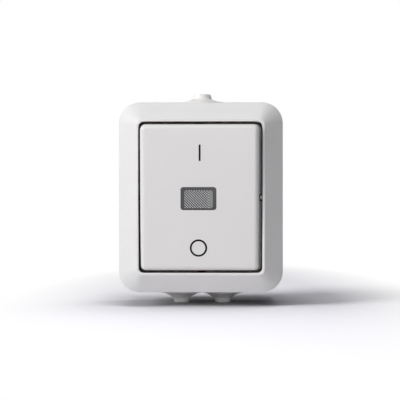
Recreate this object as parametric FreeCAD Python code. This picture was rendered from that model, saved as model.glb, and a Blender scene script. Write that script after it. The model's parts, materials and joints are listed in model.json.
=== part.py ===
import FreeCAD, Part
import math
import os

# Outdoor weatherproof switch with a pilot window. All sizes are in millimetres.
# The wall is the plane Y = 0, the front looks along -Y and +Z is up.
# A depth is a distance in front of the wall, so a depth of 10 is Y = -10.

# Cover frame as seen from the front
cover_width = 66.0
cover_height = 76.6
cover_corner_radius = 8.5
cover_wall = 2.0
frame_border = 8.4
frame_border_end = 8.25
lip_width = 1.0
opening_corner_radius = 1.8
lip_corner_growth = 0.6
skirt_draft = 0.3
cover_edge_rounding = 1.2
lip_outer_rounding = 0.5
lip_inner_rounding = 0.45
collar_wall = 1.6
collar_overlap = 0.2
rib_thickness = 1.2
rib_spacing_z = 24.0
rib_spacing_x = 16.0

# Depths of the housing, in front of the wall
back_thickness = 2.2
joint_depth = 31.0
skirt_height = 11.0
bevel_rise = 6.4
floor_thickness = 1.6
bevel_wall_depth = 2.65

# Base box and the joint between it and the cover
base_wall = 2.2
base_step = 0.3
base_draft = 0.7
parting_gap = 0.3
tongue_gap = 0.25
tongue_thickness = 1.4
tongue_height = 3.0
tongue_root = 4.0
seal_thickness = 1.0
seal_ledge_height = 2.0
insert_support_width = 4.0
insert_support_height = 16.0

# Wall screw holes
wall_hole_radius = 2.2
wall_boss_radius = 4.2
wall_boss_height = 1.0
wall_boss_gap_x = 2.8
wall_boss_gap_z = 1.1

# Screws and the pillars that they go into
screw_core_radius = 1.3
screw_shank_radius = 1.6
pilot_clearance = 0.05
screw_hole_clearance = 0.3
screw_head_radius = 3.1
screw_head_height = 2.0
screw_depth_in_pillar = 10.0
pilot_extra = 1.5
slot_width = 0.9
slot_depth = 1.0
cover_pillar_radius = 3.6
cover_pillar_rise = 4.0
cover_boss_step = 0.3
cover_screw_sink = 1.0
cover_screw_wall_gap = 0.15
insert_pillar_radius = 3.4
insert_screw_inset = 8.5
ear_radius = 4.0
ear_thickness = 2.4
ear_reach = 4.2
ear_below_split = 3.0

# Rocker plate
rocker_gap_side = 0.8
rocker_gap_end = 0.75
rocker_shift = -0.35
rocker_above_lip = 2.4
rocker_height = 5.6
rocker_draft = 0.2
rocker_wall = 1.8
rocker_plate_thickness = 2.0
rocker_corner_radius = 2.2
rocker_rounding = 1.9
rocker_tilt = 4.0
rocker_rib_thickness = 1.2
rocker_rib_height = 2.2
rocker_rib_gap = 0.4
rocker_floor_room = 4.2

# Rocker pivot on the cover's collar
pivot_below_face = 4.4
pivot_radius = 1.0
pivot_clearance = 0.06
pivot_pin_length = 3.1
pivot_boss_radius = 1.4
pivot_boss_gap = 0.3
bearing_radius = 2.05
bearing_length = 1.8
snap_mouth_width = 1.6

# Window and lens in the rocker
window_width = 14.25
window_height = 9.2
window_corner_radius = 1.1
window_shift = -0.45
window_drop = 0.2
lens_panel_width = 11.4
lens_panel_height = 7.1
lens_panel_radius = 0.9
lens_panel_drop = 0.3
lens_panel_below_face = 0.5
lens_flange_below_face = 1.5
lens_flange_margin = 1.3
lens_flange_thickness = 1.0
lens_fit = 0.1

# Actuator under the rocker
actuator_margin = 1.5
actuator_height = 24.0
actuator_plate = 1.6
actuator_rim = 0.8
actuator_corner_radius = 2.0
neck_height = 9.4
neck_wall = 1.0
neck_flat = 0.1
neck_front_gap = 5.0
light_hole_width = 10.0
light_hole_height = 6.4
light_hole_radius = 1.0
clip_width = 5.0
clip_spacing = 16.0
clip_thickness = 1.2
clip_hook = 0.8
clip_nose = 0.7
clip_gap = 0.1

# Plungers that work the contact levers
plunger_radius = 2.0
plunger_fit = 0.05
plunger_top_gap = 2.9
plunger_guide_length = 10.0
plunger_pin_step = 0.5
plunger_lever_gap = 0.3
tube_wall = 1.2
tube_end_wall = 1.1
tube_bite = 0.2
spring_bore_wall = 0.45
spring_bore_length = 6.0
plunger_spring_wire = 0.2
plunger_spring_gap = 0.35
plunger_spring_turns = 6.0
coil_steps = 10
coil_sides = 6

# Bellows round the actuator's neck
bellows_thickness = 0.8
bellows_collar_gap = 0.3
bellows_collar_reach = 1.5
bellows_fold_width = 3.4
bellows_fold_height = 2.6
bellows_fold_flat = 0.1
bellows_flange_reach = 6.9
bellows_corner_radius = 6.0
bellows_corner_step = 0.4
floor_cutout_margin = 0.3

# Switching insert
insert_end_gap = 0.9
insert_side_gap = 4.5
insert_corner_radius = 2.0
insert_back_depth = 9.0
insert_cover_height = 8.0
insert_wall = 1.5
insert_floor = 1.6
insert_rim_wall = 1.5
insert_rim_height = 5.6
insert_rim_step = 0.5
pole_partition_inner = 3.6
partition_thickness = 1.2
pole_channel_share = 0.5873
lever_share = 0.68
bar_share = 0.6
contact_share = 0.3
plunger_slot_width = 4.8
plunger_slot_height = 8.8
plunger_slot_radius = 2.0
latch_inset = 7.0
latch_width = 5.0
latch_thickness = 1.2
latch_gap = 0.1
latch_length = 6.0
latch_root = 1.5
latch_end = 2.0
latch_catch = 0.8
latch_catch_start = 1.6
latch_window = 2.4
latch_window_gap = 0.2

# Contacts and bars
lever_below_split = 3.4
lever_tilt = 6.0
ridge_radius = 0.6
ridge_neck = 0.7
ridge_base_width = 2.8
ridge_base_drop = 3.4
lever_groove_radius = 0.68
lever_end = 1.0
lever_thickness = 1.0
lever_rise = 0.4
lever_saddle = 3.2
lever_saddle_drop = 0.3
contact_height = 0.9
contact_touch_gap = 0.06
stop_width = 1.4
stop_height = 2.4
bar_thickness = 1.0
bar_end_gap = 2.0
bar_arm_share = 9 / 37
bar_arm_gap_share = 5 / 37
bar_arm_clearance = 0.3
shelf_margin = 1.0
shelf_end = 0.4
plate_slider_gap = 1.6
terminal_plate_length = 6.5
terminal_below_split = 3.0
terminal_corner = 1.0

# Clamp springs and wire ports
clamp_leaf = 0.4
clamp_start_share = 0.3
clamp_end_share = 0.74
clamp_anchor_gap = 0.5
clamp_anchor_rise = 0.8
clamp_loop_gap = 1.4
clamp_loop_width = 1.7
clamp_loop_corner = 0.5
clamp_loop_inner_rise = 0.2
clamp_loop_shoulder = 0.3
clamp_tip_below = 0.7
clamp_tip_gap = 0.3
wire_port_radius = 1.45
wire_port_plate_gap = 0.25
wire_port_flare = 0.9
wire_port_flare_depth = 0.7

# Release sliders
slider_wall_gap = 0.15
slider_width = 2.0
slider_height = 12.0
slider_play = 0.15
slider_head = 1.5
slider_head_rounding = 0.5
slider_rim_gap = 0.55
slider_above_split = 1.4
slider_body = 2.8
slider_arm_inset = 0.8
slider_arm_width = 1.6
slider_spine_step = 0.6
slider_notch_depth = 0.9
slider_notch_radius = 0.8
slider_finger_gap = 1.2
slider_finger_above = 0.5
slider_finger_bevel = 1.2
slider_finger_tip = 0.27
slider_finger_thickness = 0.9
release_spring_radius = 0.8
release_spring_wire = 0.18
release_spring_turns = 6.0
release_spring_length = 6.4
release_post_radius = 1.2

# Pilot lamp
lamp_board_width = 10.0
lamp_board_height = 9.0
lamp_board_thickness = 1.0
lamp_board_radius = 0.6
lamp_radius = 2.2
lamp_base_step = 0.3
lamp_base_height = 0.8
lamp_length = 5.6
resistor_radius = 0.7
resistor_length = 3.6
resistor_cap = 0.1
resistor_cap_length = 0.8
resistor_gap = 0.1
lead_radius = 0.3
lead_x = 2.6
lead_z = -3.6
lead_clearance = 0.2
lead_solder = 0.4
lead_notch = 0.6

# Cable entries
entry_below_middle = 1.0
entry_spacing = 17.36
entry_port_radius = 6.5
entry_fit = 0.05
entry_pad_radius = 9.0
entry_pad_bite = 0.1
entry_lip_radius = 7.4
entry_lip_thickness = 1.3
entry_lip_lead = 0.4
entry_wall = 1.2
entry_bore_length = 2.2
entry_end_chamfer = 0.2
bell_steps = 5
bell_power = 1.7
top_flange_radius = 9.7
top_flange_edge = 1.85
top_cone_rise = 3.0
top_stub_reach = 5.0
top_stub_root_radius = 4.2
top_stub_end_radius = 3.65
top_bore_radius = 2.5
bottom_flange_radius = 8.5
bottom_flange_edge = 1.9
bottom_cone_rise = 3.9
bottom_stub_reach = 5.6
bottom_stub_root_radius = 3.5
bottom_stub_end_radius = 3.15
bottom_bore_radius = 2.1

# Earth terminal in the wiring space
earth_insert_gap = 1.4
earth_width = 8.4
earth_height = 6.4
earth_block_depth = 7.0
earth_wire_level = 2.8
earth_wire_radius = 1.7
earth_screw_radius = 1.3
earth_screw_offset = 2.3
earth_screw_length = 4.0
earth_screw_rise = 0.4
earth_screw_head = 1.2
earth_screw_head_step = 0.5
earth_slot_width = 0.5
earth_slot_depth = 0.6
earth_rib_height = 1.2
earth_rib_width = 4.0
earth_rib_length = 6.0
earth_cradle = 1.0

# Small overlaps that let cuts and joined pieces pass each other
cut_margin = 1.0
bite = 0.2

# Housing sizes that follow from those above
cover_rear_width = cover_width - 2 * skirt_draft
cover_rear_height = cover_height - 2 * skirt_draft
cover_rear_radius = cover_corner_radius - skirt_draft
cover_rear_depth = joint_depth + parting_gap
cover_edge_depth = joint_depth + skirt_height
lip_depth = cover_edge_depth + bevel_rise
face_depth = lip_depth + rocker_above_lip
rocker_rear_depth = face_depth - rocker_height
well_floor_depth = rocker_rear_depth - rocker_floor_room
floor_depth = well_floor_depth - floor_thickness
opening_width = cover_width - 2 * frame_border
opening_height = cover_height - 2 * frame_border_end
bevel_run = frame_border - lip_width
lip_outer_width = opening_width + 2 * lip_width
lip_outer_height = opening_height + 2 * lip_width
lip_outer_radius = opening_corner_radius + lip_corner_growth
skirt_inner_width = cover_rear_width - 2 * cover_wall
skirt_inner_height = cover_rear_height - 2 * cover_wall
skirt_inner_radius = cover_rear_radius - cover_wall
collar_width = opening_width + 2 * collar_wall
collar_height = opening_height + 2 * collar_wall
collar_radius = opening_corner_radius + collar_wall
bevel_slope = bevel_rise / bevel_run
bevel_inner_start = cover_edge_depth + cover_wall * bevel_slope - bevel_wall_depth
bevel_inner_end = cover_edge_depth + (frame_border - collar_wall) * bevel_slope - bevel_wall_depth
tongue_width = skirt_inner_width - 2 * tongue_gap
tongue_length = skirt_inner_height - 2 * tongue_gap
tongue_radius = skirt_inner_radius - tongue_gap
tongue_end_depth = joint_depth + tongue_height
seal_end_depth = tongue_end_depth + seal_thickness
ledge_end_depth = seal_end_depth + seal_ledge_height
base_rim_width = cover_rear_width - 2 * base_step
base_rim_height = cover_rear_height - 2 * base_step
base_rim_radius = cover_rear_radius - base_step
base_wall_width = base_rim_width - 2 * base_draft
base_wall_height = base_rim_height - 2 * base_draft
base_wall_radius = base_rim_radius - base_draft
base_inner_width = base_wall_width - 2 * base_wall
base_inner_height = base_wall_height - 2 * base_wall
wall_hole_spacing_x = base_inner_width - 2 * (wall_boss_radius + wall_boss_gap_x)
wall_hole_spacing_z = base_inner_height - 2 * (wall_boss_radius + wall_boss_gap_z)
cover_pillar_depth = joint_depth + cover_pillar_rise
cover_screw_z = opening_height / 2 - cover_screw_wall_gap - screw_head_radius - screw_hole_clearance
cover_screw_depth = well_floor_depth - cover_screw_sink
entry_depth = joint_depth / 2 - entry_below_middle
entry_pad_outer = cover_rear_height / 2
entry_pad_inner = base_inner_height / 2 - entry_pad_bite

# Rocker sizes that follow
rocker_width = opening_width - 2 * rocker_gap_side
rocker_length = opening_height - 2 * rocker_gap_end
rocker_under_depth = face_depth - rocker_plate_thickness
pivot_depth = face_depth - pivot_below_face
window_x = rocker_shift + window_shift
lens_flange_depth = face_depth - lens_flange_below_face

# Switching insert sizes that follow
insert_width = base_inner_width - 2 * insert_side_gap
insert_height = 2 * (cover_screw_z - cover_pillar_radius - insert_end_gap)
insert_inner_width = insert_width - 2 * insert_wall
insert_inner_height = insert_height - 2 * insert_wall
insert_rim_depth = floor_depth - bellows_thickness
insert_front_depth = insert_rim_depth - insert_rim_height
insert_split_depth = insert_front_depth - insert_cover_height
insert_floor_depth = insert_back_depth + insert_floor
insert_roof_depth = insert_front_depth - insert_floor
insert_screw_x = wall_hole_spacing_x / 2 - insert_screw_inset
insert_screw_z = insert_height / 2 + ear_reach
ear_depth = insert_split_depth - ear_below_split
latch_z = insert_height / 2 - latch_inset
slider_x = insert_inner_width / 2 - slider_wall_gap - slider_play - slider_width / 2
terminal_plate_x = slider_x - slider_width / 2 - plate_slider_gap - bar_thickness
terminal_plate_depth = insert_split_depth - terminal_below_split
pole_free_width = terminal_plate_x - pole_partition_inner - 2 * partition_thickness
pole_channel_width = pole_channel_share * pole_free_width
pole_channel_start = pole_partition_inner + partition_thickness
pole_partition_outer = pole_channel_start + pole_channel_width
pole_x = pole_channel_start + pole_channel_width / 2
bar_front_depth = insert_floor_depth + bar_thickness
bar_width = bar_share * pole_channel_width
bar_reach = insert_inner_height / 2 - bar_end_gap
bar_arm_start = bar_reach - bar_arm_share * bar_reach
terminal_plate_start = bar_reach - terminal_plate_length
lever_width = lever_share * pole_channel_width
lever_pivot_depth = insert_split_depth - lever_below_split
lever_front_depth = lever_pivot_depth + lever_rise + lever_thickness
contact_radius = contact_share * lever_width
riser_z = bar_arm_start - bar_arm_gap_share * bar_reach
contact_z = riser_z - shelf_margin - contact_radius
lever_length = 2 * (contact_z + lever_end)
stop_z = contact_z
clamp_span = terminal_plate_depth - insert_floor_depth
clamp_depth_start = insert_floor_depth + clamp_start_share * clamp_span
clamp_depth_end = insert_floor_depth + clamp_end_share * clamp_span
clamp_anchor_x = pole_partition_outer + partition_thickness + clamp_anchor_gap
clamp_loop_z = bar_arm_start - clamp_loop_gap
clamp_tip_z = bar_reach - clamp_tip_below
wire_port_x = terminal_plate_x - wire_port_radius - wire_port_plate_gap
wire_port_depth = (clamp_depth_start + clamp_depth_end) / 2
slider_body_start = insert_split_depth + slider_above_split
slider_body_end = slider_body_start + slider_body
slider_arm_z = clamp_tip_z - slider_arm_inset
slider_finger_x = terminal_plate_x - slider_finger_gap
slider_finger_end = clamp_depth_end + slider_finger_above
release_spring_seat = slider_body_start - release_spring_length
lamp_board_front = insert_front_depth + lamp_board_thickness
lead_turn_depth = insert_floor_depth + bar_thickness / 2
lead_bar_z = -(bar_reach + riser_z) / 2
earth_seat = back_thickness + earth_rib_height
earth_x = (cover_pillar_radius + wall_hole_spacing_x / 2 - wall_boss_radius) / 2
earth_z = insert_height / 2 + earth_insert_gap + earth_height / 2
earth_end_depth = earth_seat + earth_block_depth

# Actuator, plunger and bellows sizes that follow
tube_outer_radius = plunger_radius + tube_wall
neck_width = 2 * (pole_x + tube_outer_radius + neck_wall - tube_bite)
neck_radius = (neck_height - neck_flat) / 2
neck_end_depth = insert_front_depth + neck_front_gap
actuator_width = neck_width + 2 * actuator_margin
actuator_face_depth = rocker_under_depth - actuator_rim
actuator_rear_depth = actuator_face_depth - actuator_plate
tube_roof_depth = actuator_face_depth - tube_end_wall
plunger_top_depth = tube_roof_depth - plunger_top_gap
plunger_tip_depth = lever_front_depth + plunger_lever_gap
plunger_pin_radius = plunger_radius - plunger_pin_step
spring_bore_radius = plunger_radius - spring_bore_wall
spring_bore_end = plunger_top_depth - spring_bore_length
plunger_spring_radius = spring_bore_radius - plunger_spring_gap
bellows_inner_width = neck_width + 2 * bellows_fold_width
bellows_inner_height = neck_height + 2 * bellows_fold_width
insert_rim_width = 2 * (slider_x - slider_width / 2 - slider_play - slider_rim_gap)
bellows_flange_width = insert_rim_width + 2 * insert_rim_step
bellows_flange_height = bellows_inner_height + 2 * bellows_flange_reach
insert_rim_length = bellows_flange_height - 2 * insert_rim_step
insert_rim_radius = bellows_corner_radius - insert_rim_step


def point(x, depth, z):
    """A point at a depth in front of the wall."""
    return FreeCAD.Vector(x, -depth, z)


def outline(width, height, radius, depth, x=0.0, z=0.0):
    """Closed rounded rectangle, parallel to the wall."""
    a = width / 2
    b = height / 2
    k = radius * (1 - math.sqrt(0.5))
    corners = [(1, 1), (1, -1), (-1, -1), (-1, 1)]
    edges = []
    for i, (sx, sz) in enumerate(corners):
        along_x = point(x + sx * (a - radius), depth, z + sz * b)
        along_z = point(x + sx * a, depth, z + sz * (b - radius))
        middle = point(x + sx * (a - k), depth, z + sz * (b - k))
        start, end = (along_x, along_z) if i % 2 == 0 else (along_z, along_x)
        edges.append(Part.Arc(start, middle, end).toShape())
    joined = []
    for i, edge in enumerate(edges):
        following = edges[(i + 1) % len(edges)]
        joined.append(edge)
        joined.append(Part.makeLine(edge.lastVertex().Point, following.firstVertex().Point))
    return Part.Wire(joined)


def slab(width, height, radius, depth0, depth1, x=0.0, z=0.0):
    """Rounded rectangle pushed out from one depth to another."""
    wire = outline(width, height, radius, depth0, x, z)
    return Part.Face(wire).extrude(FreeCAD.Vector(0, depth0 - depth1, 0))


def taper(first, second):
    """Solid between two outlines, each given as width, height, radius and depth."""
    return Part.makeLoft([outline(*first), outline(*second)], True, True)


def block(x0, x1, depth0, depth1, z0, z1):
    """Box between two values on each axis, in any order."""
    low = FreeCAD.Vector(min(x0, x1), -max(depth0, depth1), min(z0, z1))
    return Part.makeBox(abs(x1 - x0), abs(depth1 - depth0), abs(z1 - z0), low)


def rod_y(radius, depth0, depth1, x, z):
    """Round rod square to the wall."""
    low, high = sorted((depth0, depth1))
    return Part.makeCylinder(radius, high - low, point(x, high, z), FreeCAD.Vector(0, 1, 0))


def rod_x(radius, x0, x1, depth, z):
    """Round rod from side to side."""
    low, high = sorted((x0, x1))
    return Part.makeCylinder(radius, high - low, point(low, depth, z), FreeCAD.Vector(1, 0, 0))


def rod_z(radius, z0, z1, x, depth):
    """Upright round rod."""
    low, high = sorted((z0, z1))
    return Part.makeCylinder(radius, high - low, point(x, depth, low), FreeCAD.Vector(0, 0, 1))


def plate_xz(corners, depth0, depth1):
    """Flat shape drawn in x and z, pushed out between two depths."""
    loop = [point(x, depth0, z) for x, z in corners]
    face = Part.Face(Part.makePolygon(loop + [loop[0]]))
    return face.extrude(FreeCAD.Vector(0, depth0 - depth1, 0))


def plate_side(corners, x0, x1):
    """Flat shape drawn in depth and z, pushed out from x0 to x1."""
    loop = [point(x0, depth, z) for depth, z in corners]
    face = Part.Face(Part.makePolygon(loop + [loop[0]]))
    return face.extrude(FreeCAD.Vector(x1 - x0, 0, 0))


def turned_upright(profile, x, depth):
    """Profile of radius and height turned about an upright axis."""
    loop = [point(x + r, depth, z) for r, z in profile]
    face = Part.Face(Part.makePolygon(loop + [loop[0]]))
    return face.revolve(point(x, depth, 0), FreeCAD.Vector(0, 0, 1), 360)


def turned_forward(profile, x, z):
    """Profile of radius and depth turned about an axis square to the wall."""
    loop = [point(x + r, depth, z) for r, depth in profile]
    face = Part.Face(Part.makePolygon(loop + [loop[0]]))
    return face.revolve(point(x, 0, z), FreeCAD.Vector(0, -1, 0), 360)


def joined(first, *others):
    """One solid out of several that meet."""
    return first.multiFuse(list(others)).removeSplitter() if others else first


def without(body, *tools):
    """The body with the tools cut away."""
    return body.cut(list(tools))


def flat_edges(shape, depth):
    """Edges that lie at one depth."""
    found = []
    for edge in shape.Edges:
        box = edge.BoundBox
        if abs(box.YMin + depth) < 1e-3 and abs(box.YMax + depth) < 1e-3:
            found.append(edge)
    return found


def mirrored(shape):
    """The same piece on the other side of the middle."""
    return shape.mirror(FreeCAD.Vector(0, 0, 0), FreeCAD.Vector(1, 0, 0))


def tilted(shape):
    """A rocker piece turned to the resting position, with its lower end pressed in."""
    turned = shape.copy()
    turned.rotate(point(0, pivot_depth, 0), FreeCAD.Vector(1, 0, 0), rocker_tilt)
    return turned


def rocked(shape):
    """A contact lever turned to the resting position, with its contact open."""
    turned = shape.copy()
    turned.rotate(point(0, lever_pivot_depth, 0), FreeCAD.Vector(1, 0, 0), -lever_tilt)
    return turned


def coil(radius, wire, turns, depth0, depth1, x, z):
    """Wire wound from one depth to another, as a ruled sweep of a six-sided section."""
    length = depth1 - depth0 - 2 * wire
    steps = int(turns * coil_steps)
    sections = []
    for i in range(steps + 1):
        turn = 2 * math.pi * turns * i / steps
        middle = depth0 + wire + length * i / steps
        corners = []
        for side in range(coil_sides):
            angle = 2 * math.pi * side / coil_sides
            r = radius + wire * math.cos(angle)
            depth = middle + wire * math.sin(angle)
            corners.append(point(x + r * math.cos(turn), depth, z + r * math.sin(turn)))
        sections.append(Part.makePolygon(corners + [corners[0]]))
    return Part.makeLoft(sections, True, True)


def save(name, shape):
    """Write one piece as a STEP file."""
    shape.exportStep("parts/" + name + ".step")


def insert_screw_spots():
    """The two insert screws stand on a diagonal."""
    return [(-insert_screw_x, insert_screw_z), (insert_screw_x, -insert_screw_z)]


def entry_spots():
    """Side, x position and outer direction of each cable entry."""
    half = entry_spacing / 2
    return [("top", 0.0, 1), ("bottom_left", -half, -1), ("bottom_right", half, -1)]


def make_base_box():
    """Back box with its rim tongue, pillars, cable ports and wall-screw holes."""
    outer = taper(
        (base_wall_width, base_wall_height, base_wall_radius, 0.0),
        (base_rim_width, base_rim_height, base_rim_radius, joint_depth),
    )
    shrink = 2 * base_wall
    hollow = taper(
        (base_wall_width - shrink, base_wall_height - shrink, base_wall_radius - base_wall, back_thickness),
        (base_rim_width - shrink, base_rim_height - shrink, base_rim_radius - base_wall, joint_depth),
    )
    box = without(outer, hollow)
    pads = [make_entry_pad(x, side) for _, x, side in entry_spots()]
    box = joined(box, *pads)
    ports = []
    for _, x, side in entry_spots():
        near = side * (entry_pad_inner - cut_margin)
        far = side * (entry_pad_outer + cut_margin)
        ports.append(rod_z(entry_port_radius, near, far, x, entry_depth))
    tongue_start = joint_depth - tongue_root
    tongue = slab(tongue_width, tongue_length, tongue_radius, tongue_start, tongue_end_depth)
    tongue = without(tongue, inside_tongue(tongue_start, tongue_end_depth))
    pillars = []
    pilots = []
    for side in (1, -1):
        z = side * cover_screw_z
        pillars.append(rod_y(cover_pillar_radius, back_thickness, cover_pillar_depth, 0, z))
        pilots.append(pilot_hole(cover_pillar_depth, 0, z))
    for x, z in insert_screw_spots():
        pillars.append(rod_y(insert_pillar_radius, back_thickness, ear_depth, x, z))
        pilots.append(pilot_hole(ear_depth, x, z))
    bosses = []
    holes = []
    for sx in (1, -1):
        for sz in (1, -1):
            x = sx * wall_hole_spacing_x / 2
            z = sz * wall_hole_spacing_z / 2
            boss_end = back_thickness + wall_boss_height
            bosses.append(rod_y(wall_boss_radius, 0.0, boss_end, x, z))
            holes.append(rod_y(wall_hole_radius, -cut_margin, boss_end + cut_margin, x, z))
    box = joined(box, tongue, *pillars, *bosses, *make_insert_supports(), *make_earth_cradle())
    return without(box, *ports, *pilots, *holes)


def make_entry_pad(x, side):
    """Round flat pad in the wall round one cable port."""
    pad = rod_z(entry_pad_radius, side * entry_pad_inner, side * entry_pad_outer, x, entry_depth)
    return without(pad, block(-cover_width, cover_width, -cover_width, 0.0, -cover_height, cover_height))


def pilot_hole(depth, x, z):
    """Blind hole for a screw in the end of a pillar."""
    radius = screw_core_radius + pilot_clearance
    return rod_y(radius, depth - screw_depth_in_pillar - pilot_extra, depth + cut_margin, x, z)


def make_insert_supports():
    """Two ledges on the back that carry the switching insert."""
    supports = []
    half_x = insert_support_width / 2
    half_z = insert_support_height / 2
    for side in (1, -1):
        x = side * insert_width / 4
        supports.append(block(x - half_x, x + half_x, back_thickness, insert_back_depth, -half_z, half_z))
    return supports


def make_earth_cradle():
    """Two moulded ribs that hold the earth terminal, and the ledge under it."""
    ribs = []
    low = earth_z - earth_rib_width / 2
    high = earth_z + earth_rib_width / 2
    for side in (1, -1):
        inner = earth_x + side * earth_width / 2
        outer = inner + side * earth_cradle
        ribs.append(block(inner, outer, back_thickness, earth_seat + earth_block_depth / 2, low, high))
    half = earth_rib_length / 2
    ribs.append(block(earth_x - half, earth_x + half, back_thickness, earth_seat, low, high))
    return ribs


def make_cover_shell():
    """Bevelled outside of the cover with its rounded edge and lip."""
    skirt = taper(
        (cover_rear_width, cover_rear_height, cover_rear_radius, cover_rear_depth),
        (cover_width, cover_height, cover_corner_radius, cover_edge_depth),
    )
    bevel = taper(
        (cover_width, cover_height, cover_corner_radius, cover_edge_depth),
        (lip_outer_width, lip_outer_height, lip_outer_radius, lip_depth),
    )
    shell = joined(skirt, bevel)
    front = lip_depth + cut_margin
    opening = slab(opening_width, opening_height, opening_corner_radius, cover_rear_depth, front)
    shell = without(shell, opening)
    shell = shell.makeFillet(cover_edge_rounding, flat_edges(shell, cover_edge_depth))
    shell = shell.makeFillet(lip_outer_rounding, lip_edges(shell, False))
    return shell.makeFillet(lip_inner_rounding, lip_edges(shell, True))


def lip_edges(shell, inside):
    """Front edges of the lip, either the ones at the opening or the ones at the bevel."""
    found = []
    limit_x = opening_width / 2 + lip_width / 2
    limit_z = opening_height / 2 + lip_width / 2
    for edge in flat_edges(shell, lip_depth):
        box = edge.BoundBox
        beyond_x = max(abs(box.XMin), abs(box.XMax)) > limit_x
        beyond_z = max(abs(box.ZMin), abs(box.ZMax)) > limit_z
        if (beyond_x or beyond_z) != inside:
            found.append(edge)
    return found


def make_cover_hollow():
    """Space inside the skirt and under the bevels."""
    low = (skirt_inner_width, skirt_inner_height, skirt_inner_radius, cover_rear_depth - cut_margin)
    mid = (skirt_inner_width, skirt_inner_height, skirt_inner_radius, bevel_inner_start)
    high = (collar_width, collar_height, collar_radius, bevel_inner_end)
    return joined(taper(low, mid), taper(mid, high))


def make_cover_frame():
    """Bevelled front frame with collar, floor, bosses, ribs and pivot pins."""
    hollow = make_cover_hollow()
    shell = without(make_cover_shell(), hollow)
    collar_end = bevel_inner_end + collar_overlap
    collar_outer = slab(collar_width, collar_height, collar_radius, floor_depth, collar_end)
    front = lip_depth + cut_margin
    well = slab(opening_width, opening_height, opening_corner_radius, well_floor_depth, front)
    floor_and_collar = without(collar_outer, well)
    ledge = slab(skirt_inner_width, skirt_inner_height, skirt_inner_radius, seal_end_depth, ledge_end_depth)
    ledge = without(ledge, inside_tongue(seal_end_depth, ledge_end_depth))
    bosses = []
    holes = []
    boss_radius = cover_pillar_radius + cover_boss_step
    shank_hole = screw_shank_radius + screw_hole_clearance
    head_hole = screw_head_radius + screw_hole_clearance
    for side in (1, -1):
        z = side * cover_screw_z
        bosses.append(rod_y(boss_radius, cover_pillar_depth, floor_depth, 0, z))
        holes.append(rod_y(shank_hole, cover_pillar_depth - cut_margin, well_floor_depth, 0, z))
        holes.append(rod_y(head_hole, cover_screw_depth, well_floor_depth + cut_margin, 0, z))
    cutout = slab(
        bellows_inner_width + 2 * floor_cutout_margin,
        bellows_inner_height + 2 * floor_cutout_margin,
        bellows_corner_radius,
        floor_depth - cut_margin,
        well_floor_depth + cut_margin,
    )
    frame = joined(shell, floor_and_collar, ledge, *bosses, *make_cover_ribs(hollow))
    frame = without(frame, cutout, *holes)
    return joined(frame, *make_pivots())


def make_cover_ribs(hollow):
    """Thin ribs between the collar and the skirt."""
    collar = slab(collar_width, collar_height, collar_radius, 0.0, lip_depth)
    start = ledge_end_depth
    half = rib_thickness / 2
    ribs = []
    for at in (-rib_spacing_z, rib_spacing_z):
        ribs.append(block(-cover_width, cover_width, start, lip_depth, at - half, at + half))
    for at in (-rib_spacing_x, 0.0, rib_spacing_x):
        ribs.append(block(at - half, at + half, start, lip_depth, -cover_height, cover_height))
    pieces = []
    for rib in ribs:
        pieces.extend(rib.common(hollow).cut(collar).Solids)
    return pieces


def make_pivots():
    """Pins and spacer bosses on the collar that carry the rocker."""
    pieces = []
    for side in (1, -1):
        wall = side * opening_width / 2
        gap = rocker_gap_side - side * rocker_shift
        tip = wall - side * (gap + pivot_pin_length)
        pieces.append(rod_x(pivot_radius, wall + side * collar_wall / 2, tip, pivot_depth, 0))
        boss_end = wall - side * (gap - pivot_boss_gap)
        pieces.append(rod_x(pivot_boss_radius, wall + side * collar_wall / 2, boss_end, pivot_depth, 0))
    return pieces


def inside_tongue(depth0, depth1):
    """The space within the base's tongue, between two depths."""
    return slab(
        tongue_width - 2 * tongue_thickness,
        tongue_length - 2 * tongue_thickness,
        tongue_radius - tongue_thickness,
        depth0,
        depth1,
    )


def make_rim_seal():
    """Soft ring that lies on the end of the base's tongue."""
    outer = slab(tongue_width, tongue_length, tongue_radius, tongue_end_depth, seal_end_depth)
    return without(outer, inside_tongue(tongue_end_depth, seal_end_depth))


def make_rocker_plate():
    """Pressed plate with rounded edges, window, bearings and clips."""
    narrow = 2 * rocker_draft
    plate = taper(
        (rocker_width, rocker_length, rocker_corner_radius, rocker_rear_depth, rocker_shift),
        (rocker_width - narrow, rocker_length - narrow, rocker_corner_radius, face_depth, rocker_shift),
    )
    plate = plate.makeFillet(rocker_rounding, flat_edges(plate, face_depth))
    hollow = slab(
        rocker_width - 2 * rocker_wall,
        rocker_length - 2 * rocker_wall,
        rocker_corner_radius / 2,
        rocker_rear_depth - cut_margin,
        rocker_under_depth,
        rocker_shift,
    )
    plate = without(plate, hollow)
    adds = make_rocker_ribs() + make_rocker_clips()
    cuts = make_window_cuts()
    for side in (1, -1):
        inner_wall = rocker_shift + side * (rocker_width / 2 - rocker_wall)
        bearing_end = inner_wall - side * bearing_length
        adds.append(rod_x(bearing_radius, inner_wall + side * rocker_wall / 2, bearing_end, pivot_depth, 0))
        far = rocker_shift + side * (rocker_width / 2 + cut_margin)
        gap = rocker_gap_side - side * rocker_shift
        near = side * (opening_width / 2 - gap - pivot_pin_length - pivot_boss_gap)
        cuts.append(rod_x(pivot_radius + pivot_clearance, near, far, pivot_depth, 0))
        half = snap_mouth_width / 2
        cuts.append(block(near, far, rocker_rear_depth - cut_margin, pivot_depth, -half, half))
    plate = joined(plate, *adds)
    return tilted(without(plate, *cuts))


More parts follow.
